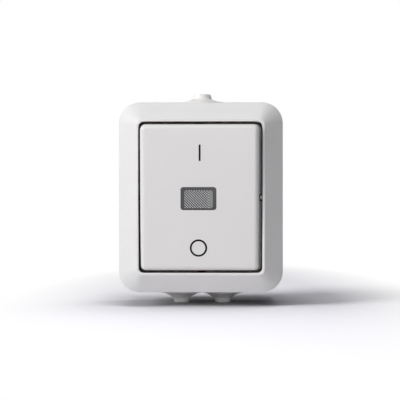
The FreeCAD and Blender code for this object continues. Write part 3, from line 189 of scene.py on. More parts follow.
def moulded_plastic(name, colour, shade, roughness, grain_mm, grain_depth_mm, glow=0.0, joint_mm=0.0):
    """Thermoplastic out of a spark-eroded mould: one even colour, a soft broad highlight
    that the fine grain breaks up, and slow drifts of tone where the melt ran. Deep in the
    narrow joints, up to joint_mm wide, painted shade makes the plastic dark brown and takes
    away its reflection."""
    flow_mm = 14.0
    polish_mm = 3.0
    shinier = 0.04
    duller = 0.05
    glow_reach_mm = 0.6
    material, tree, place = start_material(name)
    flow = add(tree, "ShaderNodeTexNoise", {"Vector": place, "Scale": cells(flow_mm), "Detail": 2.0})
    tones = {FACTOR: (flow, 0), COLOUR_A: linear(colour), COLOUR_B: linear(shade)}
    tone = add(tree, "ShaderNodeMix", tones, data_type="RGBA")
    shine = PLASTIC_SHINE
    # Painted shade: where little open sky is seen, the colour turns dark brown and the reflection goes.
    if joint_mm:
        sky = add(
            tree,
            "ShaderNodeAmbientOcclusion",
            {"Distance": joint_mm * MM},
            samples=JOINT_SAMPLES,
        )
        unshaded = add(
            tree,
            "ShaderNodeMapRange",
            {"Value": (sky, "AO"), "From Min": JOINT_SHUT, "From Max": JOINT_OPEN},
        )
        tones = {FACTOR: (unshaded, 0), COLOUR_A: linear(JOINT_PAINTED_SHADE), COLOUR_B: (tone, MIXED)}
        tone = add(tree, "ShaderNodeMix", tones, data_type="RGBA")
        shine_outside_shade = add(tree, "ShaderNodeMath", {0: (unshaded, 0), 1: PLASTIC_SHINE}, operation="MULTIPLY")
        shine = (shine_outside_shade, 0)
    polish = add(tree, "ShaderNodeTexNoise", {"Vector": place, "Scale": cells(polish_mm), "Detail": 3.0})
    gloss = add(
        tree,
        "ShaderNodeMapRange",
        {
            "Value": (polish, 0),
            "From Min": NOISE_LOW,
            "From Max": NOISE_HIGH,
            "To Min": roughness - shinier,
            "To Max": roughness + duller,
        },
    )
    grain = add(tree, "ShaderNodeTexNoise", {"Vector": place, "Scale": cells(grain_mm), "Detail": 4.0})
    bump = add(
        tree,
        "ShaderNodeBump",
        {"Height": (grain, 0), "Strength": 0.35, "Distance": grain_depth_mm * MM},
    )
    shader = add(
        tree,
        "ShaderNodeBsdfPrincipled",
        {
            "Base Color": (tone, MIXED),
            "Roughness": (gloss, 0),
            "Normal": (bump, 0),
            "IOR": 1.52,
            "Specular IOR Level": shine,
            "Subsurface Weight": glow,
            "Subsurface Radius": (1.0, 0.9, 0.8),
            "Subsurface Scale": glow_reach_mm * MM,
        },
    )
    return finish_material(material, tree, shader)


def moulded_rubber(name, colour, shade, roughness):
    """Moulded elastomer: dull, with a faint bloom and shallow orange-peel from the mould."""
    bloom_mm = 1.2
    peel_mm = 0.35
    peel_depth_mm = 0.012
    material, tree, place = start_material(name)
    bloom = add(tree, "ShaderNodeTexNoise", {"Vector": place, "Scale": cells(bloom_mm), "Detail": 5.0})
    tones = {FACTOR: (bloom, 0), COLOUR_A: linear(colour), COLOUR_B: linear(shade)}
    tone = add(tree, "ShaderNodeMix", tones, data_type="RGBA")
    peel = add(tree, "ShaderNodeTexVoronoi", {"Vector": place, "Scale": cells(peel_mm)})
    bump = add(
        tree,
        "ShaderNodeBump",
        {"Height": (peel, 0), "Strength": 0.25, "Distance": peel_depth_mm * MM},
    )
    shader = add(
        tree,
        "ShaderNodeBsdfPrincipled",
        {
            "Base Color": (tone, MIXED),
            "Roughness": roughness,
            "Normal": (bump, 0),
            "IOR": 1.48,
            "Sheen Weight": 0.08,
            "Sheen Roughness": 0.5,
        },
    )
    return finish_material(material, tree, shader)


def filled_polyamide(name, colour, fleck):
    """Glass-filled polyamide, moulded: dark and matt, with short pale fibres just under the skin."""
    # A real fibre is about 0.01 mm thick, too fine to show, so the fibres are drawn thicker.
    fibre_mm = 0.25
    fibre_stretch = 0.2
    fibre_edge = 0.25
    fibre_tone = 0.6
    skin_mm = 0.3
    skin_depth_mm = 0.01
    material, tree, place = start_material(name)
    lie = add(tree, "ShaderNodeMapping", {"Vector": place, "Scale": (1.0, 1.0, fibre_stretch)})
    fibres = add(tree, "ShaderNodeTexVoronoi", {"Vector": (lie, 0), "Scale": cells(fibre_mm)}, feature="F1")
    mask = add(
        tree,
        "ShaderNodeMapRange",
        {"Value": (fibres, 0), "From Max": fibre_edge, "To Min": fibre_tone, "To Max": 0.0},
    )
    tones = {FACTOR: (mask, 0), COLOUR_A: linear(colour), COLOUR_B: linear(fleck)}
    tone = add(tree, "ShaderNodeMix", tones, data_type="RGBA")
    skin = add(tree, "ShaderNodeTexNoise", {"Vector": place, "Scale": cells(skin_mm), "Detail": 3.0})
    bump = add(
        tree,
        "ShaderNodeBump",
        {"Height": (skin, 0), "Strength": 0.3, "Distance": skin_depth_mm * MM},
    )
    shader = add(
        tree,
        "ShaderNodeBsdfPrincipled",
        {"Base Color": (tone, MIXED), "Roughness": 0.55, "Normal": (bump, 0)},
    )
    return finish_material(material, tree, shader)


def stamped_metal(name, colour, shade, roughness, line_mm):
    """Strip metal, rolled and stamped: fine parallel rolling lines draw the highlight out sideways."""
    # Real rolling lines lie a few hundredths of a millimetre apart, too fine to show, so they are
    # drawn coarser.
    line_stretch = 0.04
    line_depth_mm = 0.005
    shinier = 0.06
    duller = 0.08
    material, tree, place = start_material(name)
    along = add(tree, "ShaderNodeMapping", {"Vector": place, "Scale": (line_stretch, 1.0, 1.0)})
    lines = add(tree, "ShaderNodeTexNoise", {"Vector": (along, 0), "Scale": cells(line_mm), "Detail": 5.0})
    tones = {FACTOR: (lines, 0), COLOUR_A: linear(colour), COLOUR_B: linear(shade)}
    tone = add(tree, "ShaderNodeMix", tones, data_type="RGBA")
    gloss = add(
        tree,
        "ShaderNodeMapRange",
        {
            "Value": (lines, 0),
            "From Min": NOISE_LOW,
            "From Max": NOISE_HIGH,
            "To Min": roughness - shinier,
            "To Max": roughness + duller,
        },
    )
    bump = add(
        tree,
        "ShaderNodeBump",
        {"Height": (lines, 0), "Strength": 0.2, "Distance": line_depth_mm * MM},
    )
    shader = add(
        tree,
        "ShaderNodeBsdfPrincipled",
        {"Base Color": (tone, MIXED), "Metallic": 1.0, "Roughness": (gloss, 0), "Normal": (bump, 0)},
    )
    return finish_material(material, tree, shader)


def plated_steel(name, colour, shade):
    """Plated steel or copper: cool grey with cloudy passivation and a fine turned grain."""
    # Real turning marks lie about 0.05 mm apart, too fine to show, so they are drawn coarser.
    cloud_mm = 1.5
    turned_mm = 0.12
    turned_depth_mm = 0.004
    material, tree, place = start_material(name)
    cloud = add(tree, "ShaderNodeTexNoise", {"Vector": place, "Scale": cells(cloud_mm), "Detail": 4.0})
    tones = {FACTOR: (cloud, 0), COLOUR_A: linear(colour), COLOUR_B: linear(shade)}
    tone = add(tree, "ShaderNodeMix", tones, data_type="RGBA")
    turned = add(tree, "ShaderNodeTexNoise", {"Vector": place, "Scale": cells(turned_mm), "Detail": 2.0})
    bump = add(
        tree,
        "ShaderNodeBump",
        {"Height": (turned, 0), "Strength": 0.25, "Distance": turned_depth_mm * MM},
    )
    shader = add(
        tree,
        "ShaderNodeBsdfPrincipled",
        {"Base Color": (tone, MIXED), "Metallic": 1.0, "Roughness": 0.33, "Normal": (bump, 0)},
    )
    return finish_material(material, tree, shader)


def woven_laminate(name, colour, shade):
    """Glass-cloth laminate under solder mask: a faint square weave shows through glossy lacquer."""
    # Each cell holds two bricks across and four up, so one float of thread is 0.5 mm long.
    cloth_mm = 1.0
    weave_depth_mm = 0.01
    material, tree, place = start_material(name)
    threads = {"Color1": linear(colour), "Color2": linear(shade), "Mortar": linear(shade)}
    weave = add(tree, "ShaderNodeTexBrick", {"Vector": place, "Scale": cells(cloth_mm), **threads})
    bump = add(
        tree,
        "ShaderNodeBump",
        {"Height": (weave, 1), "Strength": 0.3, "Distance": weave_depth_mm * MM},
    )
    shader = add(
        tree,
        "ShaderNodeBsdfPrincipled",
        {
            "Base Color": (weave, 0),
            "Roughness": 0.3,
            "Normal": (bump, 0),
            "Coat Weight": 0.4,
            "Coat Roughness": 0.15,
        },
    )
    return finish_material(material, tree, shader)


def blown_glass(name, colour):
    """Thin blown glass: clear and bright, with a faint ripple where it was drawn."""
    draw_mm = 0.8
    draw_depth_mm = 0.02
    material, tree, place = start_material(name)
    draw = add(tree, "ShaderNodeTexNoise", {"Vector": place, "Scale": cells(draw_mm), "Detail": 1.0})
    bump = add(
        tree,
        "ShaderNodeBump",
        {"Height": (draw, 0), "Strength": 0.2, "Distance": draw_depth_mm * MM},
    )
    shader = add(
        tree,
        "ShaderNodeBsdfPrincipled",
        {
            "Base Color": linear(colour),
            "Roughness": 0.06,
            "IOR": 1.5,
            "Transmission Weight": 0.85,
            "Normal": (bump, 0),
        },
    )
    return finish_material(material, tree, shader)


def printed_ink(name, colour, shade):
    """Pad-printed black ink: dense, a little thinner in tiny specks. Its matting agent
    scatters the reflection, so that the marks stay deep black beside the pale plastic."""
    speck_mm = 0.18
    speck_depth_mm = 0.004
    material, tree, place = start_material(name)
    speck = add(tree, "ShaderNodeTexNoise", {"Vector": place, "Scale": cells(speck_mm), "Detail": 3.0})
    tones = {FACTOR: (speck, 0), COLOUR_A: linear(colour), COLOUR_B: linear(shade)}
    tone = add(tree, "ShaderNodeMix", tones, data_type="RGBA")
    bump = add(
        tree,
        "ShaderNodeBump",
        {"Height": (speck, 0), "Strength": 0.2, "Distance": speck_depth_mm * MM},
    )
    shader = add(
        tree,
        "ShaderNodeBsdfPrincipled",
        {
            "Base Color": (tone, MIXED),
            "Roughness": 0.5,
            "Specular IOR Level": 0.12,
            "Normal": (bump, 0),
        },
    )
    return finish_material(material, tree, shader)


# Painted highlight and painted shade of the prisms. The lattice is stronger along one slant
# than along the other. Where the summed waves of both slants are below the foot it is fully
# dark, in painted shade, and above the crown fully bright, in painted highlight.
LATTICE_LEAN = 1.6
LATTICE_FOOT = -0.2
LATTICE_CROWN = 2.0
# Shares of the bright tone on the plain strip, and on the sunk flange, which lies in painted shade.
PLAIN_TONE = 0.27
FLANGE_TONE = 0.05
# The panel of the tilted lens lies within this depth of the level lens's front.
PANEL_DEPTH = 0.6 * MM


def moulded_polycarbonate(name, colour, deep, grey_behind, pitch_mm, plain_from):
    """Clear polycarbonate, moulded to a high polish. The dark space behind it is painted into
    its colour as grey painted shade, and each crossed prism gets a painted highlight on its
    crown and painted shade at its foot, so the panel shows a fine slanting lattice, up to the
    plain strip at the right."""
    shade_cloud_mm = 2.5
    material, tree, place = start_material(name)
    waves = []
    for turn in (math.pi / 4, -math.pi / 4):
        slant = add(
            tree,
            "ShaderNodeVectorRotate",
            {"Vector": place, "Angle": turn},
            rotation_type="Y_AXIS",
        )
        apart = add(tree, "ShaderNodeSeparateXYZ", {"Vector": (slant, 0)})
        phase = {0: (apart, 0), 1: math.tau * cells(pitch_mm)}
        turns = add(tree, "ShaderNodeMath", phase, operation="MULTIPLY")
        waves.append(add(tree, "ShaderNodeMath", {0: (turns, 0)}, operation="COSINE"))
    main = add(tree, "ShaderNodeMath", {0: (waves[0], 0), 1: LATTICE_LEAN}, operation="MULTIPLY")
    both = add(tree, "ShaderNodeMath", {0: (main, 0), 1: (waves[1], 0)}, operation="ADD")
    # The prism's height sets its painted highlight at the crown and painted shade at the foot.
    height = add(
        tree,
        "ShaderNodeMapRange",
        {"Value": (both, 0), "From Min": LATTICE_FOOT, "From Max": LATTICE_CROWN},
    )
    sides = add(tree, "ShaderNodeSeparateXYZ", {"Vector": place})
    plain = add(tree, "ShaderNodeMath", {0: (sides, 0), 1: plain_from}, operation="GREATER_THAN")
    panel = add(tree, "ShaderNodeMix", {FACTOR: (plain, 0), VALUE_A: (height, 0), VALUE_B: PLAIN_TONE})
    behind = {0: (sides, 1), 1: LENS_FRONT + PANEL_DEPTH}
    sunk = add(tree, "ShaderNodeMath", behind, operation="GREATER_THAN")
    painted_lens_light = add(tree, "ShaderNodeMix", {FACTOR: (sunk, 0), VALUE_A: (panel, 0), VALUE_B: FLANGE_TONE})
    # Painted shade of the dark space behind the lens, in two tones that drift at random.
    cloud = add(tree, "ShaderNodeTexNoise", {"Vector": place, "Scale": cells(shade_cloud_mm), "Detail": 2.0})
    tones = {FACTOR: (cloud, 0), COLOUR_A: linear(deep), COLOUR_B: linear(grey_behind)}
    dark = add(tree, "ShaderNodeMix", tones, data_type="RGBA")
    tones = {FACTOR: (painted_lens_light, 0), COLOUR_A: (dark, MIXED), COLOUR_B: linear(colour)}
    tone = add(tree, "ShaderNodeMix", tones, data_type="RGBA")
    shader = add(
        tree,
        "ShaderNodeBsdfPrincipled",
        {"Base Color": (tone, MIXED), "Roughness": 0.3, "IOR": 1.58, "Transmission Weight": 0.12},
    )
    return finish_material(material, tree, shader)


# The contact shadow: how it deepens towards the switch, and its lowest share of the gain.
CONTACT_CURVE = 2.4
CONTACT_DARK = 0.31
CONTACT_SAMPLES = 16
# Paper turns to pure white from the first to the second reach, over an oval that is narrow in x.
FADE_SHIFT = (-0.018, 0.0, 0.0)
FADE_SHAPE = (2.0, 0.5, 1.0)
FADE_START = 0.095
FADE_END = 0.19


def seamless_paper(name, colour, shade, contact, gain):
    """Uncoated background paper: matt, with faint clouds of fibre. To the camera it is bright
    enough to look white, grey in the shadow of the switch, and pure white away from it."""
    fibre_mm = 2.0
    material, tree, place = start_material(name)
    fibre = add(tree, "ShaderNodeTexNoise", {"Vector": place, "Scale": cells(fibre_mm), "Detail": 3.0})
    tones = {FACTOR: (fibre, 0), COLOUR_A: linear(colour), COLOUR_B: linear(shade)}
    tone = add(tree, "ShaderNodeMix", tones, data_type="RGBA")
    path = add(tree, "ShaderNodeLightPath")
    sky = add(tree, "ShaderNodeAmbientOcclusion", {"Distance": contact}, samples=CONTACT_SAMPLES)
    curve = add(tree, "ShaderNodeMath", {0: (sky, "AO"), 1: CONTACT_CURVE}, operation="POWER")
    lit = add(
        tree,
        "ShaderNodeMapRange",
        {"Value": (curve, 0), "To Min": CONTACT_DARK * gain, "To Max": gain},
    )
    shares = {FACTOR: (path, "Is Camera Ray"), VALUE_A: 1.0, VALUE_B: (lit, 0)}
    shown = add(tree, "ShaderNodeMix", shares)
    bright = add(tree, "ShaderNodeVectorMath", {0: (tone, MIXED), "Scale": (shown, 0)}, operation="SCALE")
    paper = add(tree, "ShaderNodeBsdfDiffuse", {"Color": (bright, 0)})
    white = add(tree, "ShaderNodeEmission", {"Color": linear("#FFFFFF"), "Strength": 1.0})
    oval = add(
        tree,
        "ShaderNodeMapping",
        {"Vector": place, "Location": FADE_SHIFT, "Scale": FADE_SHAPE},
    )
    reach = add(tree, "ShaderNodeVectorMath", {0: (oval, 0)}, operation="LENGTH")
    far = add(
        tree,
        "ShaderNodeMapRange",
        {"Value": (reach, "Value"), "From Min": FADE_START, "From Max": FADE_END},
    )
    seen = add(tree, "ShaderNodeMath", {0: (path, "Is Camera Ray"), 1: (far, 0)}, operation="MULTIPLY")
    blend = add(tree, "ShaderNodeMixShader", {0: (seen, 0), 1: (paper, 0), 2: (white, 0)})
    return finish_material(material, tree, blend)


# Meshes


def new_piece(name, mesh, body, material):
    """Links a finished mesh that rides on a body and takes its finish from a slot."""
    piece = bpy.data.objects.new(name, mesh)
    bpy.context.scene.collection.objects.link(piece)
    piece.data.materials.append(material)
    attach(piece, body)
    return piece


def paint(nodes, material):
    """Gives carried-over pieces one material."""
    missing = [name for name in nodes if name not in frame["nodes"]]
    if missing:
        raise RuntimeError("The frame has no piece named " + ", ".join(missing))
    for name in nodes:
        mesh = frame["nodes"][name].data
        mesh.materials.clear()
        mesh.materials.append(material)


def rounded_rectangle(middle, size, radius, steps):
    """Corners of a rounded rectangle round a middle, anticlockwise."""
    corners = []
    for turn, (sx, sz) in enumerate([(1, 1), (-1, 1), (-1, -1), (1, -1)]):
        for step in range(steps + 1):
            angle = math.pi / 2 * (turn + step / steps)
            x = sx * (size[0] / 2 - radius) + radius * math.cos(angle)
            z = sz * (size[1] / 2 - radius) + radius * math.sin(angle)
            corners.append((x + middle[0], z + middle[1]))
    return corners


def circle(middle, radius, steps):
    """Points round a circle, anticlockwise."""
    turns = [2 * math.pi * step / steps for step in range(steps)]
    return [(middle[0] + radius * math.cos(turn), middle[1] + radius * math.sin(turn)) for turn in turns]


def bridge(work, levels):
    """Rows of corners, each an outline with its depth, and the faces between neighbouring rows."""
    rows = [[work.verts.new((x, y, z)) for x, z in outline] for outline, y in levels]
    for low, high in zip(rows, rows[1:]):
        for i in range(len(low)):
            j = (i + 1) % len(low)
            work.faces.new((low[i], low[j], high[j], high[i]))
    return rows


# Corners nearer to each other than this are one corner.
SEAM = 0.0001 * MM


def tilted_mesh(work, name):
    """Turns a working mesh, made for the level rocker, into a mesh on the tilted one."""
    bmesh.ops.transform(work, matrix=TILT, verts=work.verts)
    bmesh.ops.remove_doubles(work, verts=work.verts, dist=SEAM)
    bmesh.ops.recalc_face_normals(work, faces=work.faces)
    return finished_mesh(work, name)


def finished_mesh(work, name):
    """Turns the working mesh into a mesh."""
    mesh = bpy.data.meshes.new(name)
    work.to_mesh(mesh)
    work.free()
    if not mesh.polygons:
        raise RuntimeError(name + " came out without a face")
    return mesh


# What a user would change


class FinishSettings(bpy.types.PropertyGroup):
    """Colours and texture of the moulded pieces."""
    shell: bpy.props.StringProperty(
        name="Shell", description="Polar white of the base and cover", default="#E6E5E4"
    )
    rocker: bpy.props.StringProperty(
        name="Rocker", description="Polar white of the rocker", default="#E6E4E3"
    )
    nozzle: bpy.props.StringProperty(
        name="Nozzles", description="White of the soft cable entries", default="#F6F5F3"
    )
    # The lens colour is the bright tone of the painted highlights on its prisms.
    lens: bpy.props.StringProperty(name="Lens", description="Tint of the window lens", default="#F0F0F2")
    roughness: bpy.props.FloatProperty(
        name="Roughness",
        description="Roughness of the moulded shell",
        default=0.42,
        min=0.0,
        max=1.0,
        subtype="FACTOR",
    )
    # Real spark-eroded grain is about half as wide, too fine to show, so it is drawn coarser.
    grain: bpy.props.FloatProperty(
        name="Grain",
        description="Width of one grain of the mould's texture, in millimetres",
        default=0.16,
        min=0.02,
    )
    # Up to this width, joints get painted shade.
    joint: bpy.props.FloatProperty(
        name="Joint",
        description="Width up to which joints are dark inside, in millimetres",
        default=2.0,
        min=0.1,
    )


class MarkSettings(bpy.types.PropertyGroup):
    """Sizes of the printed on and off marks."""
    stroke_width: bpy.props.FloatProperty(
        name="Stroke width",
        description="Width of the upright stroke",
        default=0.75 * MM,
        unit="LENGTH",
        precision=5,
    )
    stroke_height: bpy.props.FloatProperty(
        name="Stroke height",
        description="Height of the upright stroke",
        default=6.5 * MM,
        unit="LENGTH",
        precision=5,
    )
    stroke_radius: bpy.props.FloatProperty(
        name="Stroke radius",
        description="Corner radius of the upright stroke",
        default=0.08 * MM,
        unit="LENGTH",
        precision=5,
    )
    stroke_x: bpy.props.FloatProperty(
        name="Stroke x",
        description="Sideways place of the stroke",
        default=-0.3 * MM,
        unit="LENGTH",
        precision=5,
    )
    stroke_z: bpy.props.FloatProperty(
        name="Stroke z",
        description="Height of the stroke's middle",
        default=18.0 * MM,
        unit="LENGTH",
        precision=5,
    )
    ring_radius: bpy.props.FloatProperty(
        name="Ring radius",
        description="Outer radius of the ring",
        default=3.45 * MM,
        unit="LENGTH",
        precision=5,
    )
    ring_width: bpy.props.FloatProperty(
        name="Ring width",
        description="Width of the ring's line",
        default=0.73 * MM,
        unit="LENGTH",
        precision=5,
    )
    ring_x: bpy.props.FloatProperty(
        name="Ring x",
        description="Sideways place of the ring",
        default=-0.8 * MM,
        unit="LENGTH",
        precision=5,
    )
    ring_z: bpy.props.FloatProperty(
        name="Ring z",
        description="Height of the ring's middle",
        default=-19.9 * MM,
        unit="LENGTH",
        precision=5,
    )
    ink: bpy.props.FloatProperty(
        name="Ink",
        description="Thickness of the printed ink",
        default=0.03 * MM,
        unit="LENGTH",
        precision=5,
    )


class LensSettings(bpy.types.PropertyGroup):
    """Shape of the window lens."""
    # The real prisms are about 0.45 mm apart, too fine to show, so they are drawn coarser.
    prism_pitch: bpy.props.FloatProperty(
        name="Prism pitch",
        description="From one prism to the next",
        default=0.72 * MM,
        unit="LENGTH",
        precision=5,
    )
    prism_depth: bpy.props.FloatProperty(
        name="Prism depth",
        description="Height of the prisms",
        default=0.10 * MM,
        unit="LENGTH",
        precision=5,
    )
    plain_strip: bpy.props.FloatProperty(
        name="Plain strip",
        description="Width without prisms at the right",
        default=1.7 * MM,
        unit="LENGTH",
        precision=5,
    )
    panel_radius: bpy.props.FloatProperty(
        name="Panel radius",
        description="Corner radius of the panel",
        default=0.9 * MM,
        unit="LENGTH",
        precision=5,
    )
    flange_radius: bpy.props.FloatProperty(
        name="Flange radius",
        description="Corner radius of the flange",
        default=2.4 * MM,
        unit="LENGTH",
        precision=5,
    )
    flange_thickness: bpy.props.FloatProperty(
        name="Flange", description="Thickness of the flange", default=1.0 * MM, unit="LENGTH", precision=5
    )


class StudioSettings(bpy.types.PropertyGroup):
    """Camera, lamps and floor."""
    distance: bpy.props.FloatProperty(
        name="Distance", description="From the camera to the cover's edge", default=0.6, unit="LENGTH"
    )
    edge_depth: bpy.props.FloatProperty(
        name="Edge depth",
        description="Depth of the cover's outer edge",
        default=42.0 * MM,
        unit="LENGTH",
        precision=5,
    )
    view_width: bpy.props.FloatProperty(
        name="View width",
        description="Width seen at the cover's edge",
        default=161.1 * MM,
        unit="LENGTH",
        precision=5,
    )
    turn: bpy.props.FloatProperty(
        name="Turn",
        description="How far the camera stands to the right",
        default=math.radians(1.1),
        unit="ROTATION",
    )
    aim_x: bpy.props.FloatProperty(
        name="Aim x",
        description="Sideways place of the picture's middle",
        default=-0.34 * MM,
        unit="LENGTH",
        precision=5,
    )
    aim_z: bpy.props.FloatProperty(
        name="Aim z",
        description="Height of the picture's middle",
        default=-1.05 * MM,
        unit="LENGTH",
        precision=5,
    )
    key: bpy.props.FloatProperty(
        name="Key", description="Power of the key lamp", default=11.9, unit="POWER"
    )
    fill: bpy.props.FloatProperty(
        name="Fill", description="Power of the lamp at the right", default=0.05, unit="POWER"
    )
    front: bpy.props.FloatProperty(
        name="Front", description="Power of the low lamp in front", default=2.5, unit="POWER"
    )
    top: bpy.props.FloatProperty(
        name="Top", description="Power of the lamp above", default=2.6, unit="POWER"
    )
    rear: bpy.props.FloatProperty(
        name="Rear", description="Power of the lamp above and behind", default=0.5, unit="POWER"
    )
    floor_gain: bpy.props.FloatProperty(
        name="Floor gain",
        description="How much brighter than paper the camera sees the floor",
        default=1.8,
        min=1.0,
    )
    contact: bpy.props.FloatProperty(
        name="Contact shadow",
        description="Reach of the soft shadow round the switch",
        default=0.24,
        unit="LENGTH",
    )


SETTINGS = {
    "switch_finish": FinishSettings,
    "switch_marks": MarkSettings,
    "switch_lens": LensSettings,
    "switch_studio": StudioSettings,
}


# Pieces and finishes

# The rocker's plastic is a little shinier than the shell's.
ROCKER_SHINIER = 0.04


class SWITCH_OT_shell_finish(bpy.types.Operator):
    """Moulded finish of the base, the cover and the rocker."""
    bl_idname = "switch.shell_finish"
    bl_label = "Shell finish"

    def execute(self, context):
        look = context.scene.switch_finish
        # Both finishes paint shade into the narrow joints.
        shell = moulded_plastic(
            "asa_moulded_satin",
            look.shell,
            "#E3E2E1",
            roughness=look.roughness,
            grain_mm=look.grain,
            grain_depth_mm=0.012,
            joint_mm=look.joint,
        )
        paint(["base_box", "cover_frame"], shell)
        plate = moulded_plastic(
            "asa_moulded_silk",
            look.rocker,
            "#E3E1E0",
            roughness=look.roughness - ROCKER_SHINIER,
            grain_mm=look.grain,
            grain_depth_mm=0.01,
            joint_mm=look.joint,
        )
        paint(["rocker_plate"], plate)
        return {"FINISHED"}


class SWITCH_OT_soft_finish(bpy.types.Operator):
    """Moulded rubber of the cable entries, the seal and the bellows."""
    bl_idname = "switch.soft_finish"
    bl_label = "Soft pieces"

    def execute(self, context):
        look = context.scene.switch_finish
        nozzle = moulded_plastic(
            "tpe_moulded_soft_white",
            look.nozzle,
            "#EAE9E6",
            roughness=0.5,
            grain_mm=0.2,
            grain_depth_mm=0.012,
            glow=0.2,
        )
        paint(["entry_nozzle_top", "entry_nozzle_bottom_left", "entry_nozzle_bottom_right"], nozzle)
        seal = moulded_rubber("epdm_moulded_black", "#2B2A2C", "#38373A", roughness=0.7)
        paint(["rim_seal", "actuator_seal"], seal)
        return {"FINISHED"}


class SWITCH_OT_insert_finish(bpy.types.Operator):
    """Plastics of the switching insert and the actuator."""
    bl_idname = "switch.insert_finish"
    bl_label = "Insert plastics"

    def execute(self, context):
        housing = filled_polyamide("polyamide_glass_filled_grey", "#4A4B4E", fleck="#7C7D80")
        paint(["insert_base", "insert_cover"], housing)
        carrier = moulded_plastic(
            "polyamide_moulded_pale",
            "#C9C8C2",
            "#C2C1BA",
            roughness=0.5,
            grain_mm=0.2,
            grain_depth_mm=0.01,
        )
        paint(["actuator"], carrier)
        acetal = moulded_plastic(
            "acetal_moulded_ivory",
            "#E2DFD3",
            "#DBD8CB",
            roughness=0.32,
            grain_mm=0.1,
            grain_depth_mm=0.004,
            glow=0.2,
        )
        paint(["plunger_" + side for side in SIDES], acetal)
        orange = moulded_plastic(
            "pbt_moulded_orange",
            "#D9701E",
            "#D1691A",
            roughness=0.45,
            grain_mm=0.15,
            grain_depth_mm=0.008,
        )
        paint(["release_slider_" + side for side in SIDES], orange)
        return {"FINISHED"}


class SWITCH_OT_metal_finish(bpy.types.Operator):
    """Brass, copper, spring steel and zinc-plated pieces."""
    bl_idname = "switch.metal_finish"
    bl_label = "Metal pieces"

    def execute(self, context):
        brass = stamped_metal("brass_rolled_stamped", "#D9BC7A", "#CDAE68", roughness=0.3, line_mm=0.08)
        paint([kind + side for kind in ("common_bar_", "switched_bar_") for side in SIDES], brass)
        paint(["earth_block"], brass)
        copper = stamped_metal("copper_rolled_stamped", "#DDA284", "#D09172", roughness=0.28, line_mm=0.08)
        paint(["contact_lever_" + side for side in SIDES], copper)
        spring = stamped_metal("stainless_spring_strip", "#C8C8C6", "#B8B8B6", roughness=0.22, line_mm=0.06)
        kinds = ("clamp_spring_top_", "clamp_spring_bottom_", "plunger_spring_", "release_spring_")
        paint([kind + side for kind in kinds for side in SIDES], spring)
        zinc = plated_steel("steel_zinc_plated", "#C6C9CC", "#B4B8BC")
        screws = ["cover_screw_top", "cover_screw_bottom", "insert_screw_top", "insert_screw_bottom"]
        paint(screws + ["earth_screw_" + side for side in SIDES], zinc)
        return {"FINISHED"}


class SWITCH_OT_lamp_finish(bpy.types.Operator):
    """Pilot lamp with its board, resistor and wires."""
    bl_idname = "switch.lamp_finish"
    bl_label = "Pilot lamp"

    def execute(self, context):
        paint(["lamp"], blown_glass("soda_glass_blown", "#F2EBDD"))
        paint(["lamp_board"], woven_laminate("glass_cloth_laminate_green", "#2F6B45", "#295E3C"))
        lacquer = moulded_plastic(
            "ceramic_lacquered_beige",
            "#C9B48C",
            "#BFA87E",
            roughness=0.25,
            grain_mm=0.3,
            grain_depth_mm=0.006,
        )
        paint(["lamp_resistor"], lacquer)
        wire = plated_steel("copper_wire_tinned", "#D4D4D0", "#C4C4BE")
        paint(["lamp_lead_" + side for side in SIDES], wire)
        return {"FINISHED"}


# Steps of the lens's corners, and steps from one ridge of the prisms to the next.
LENS_CORNER_STEPS = 6
RIDGE_STEPS = 8


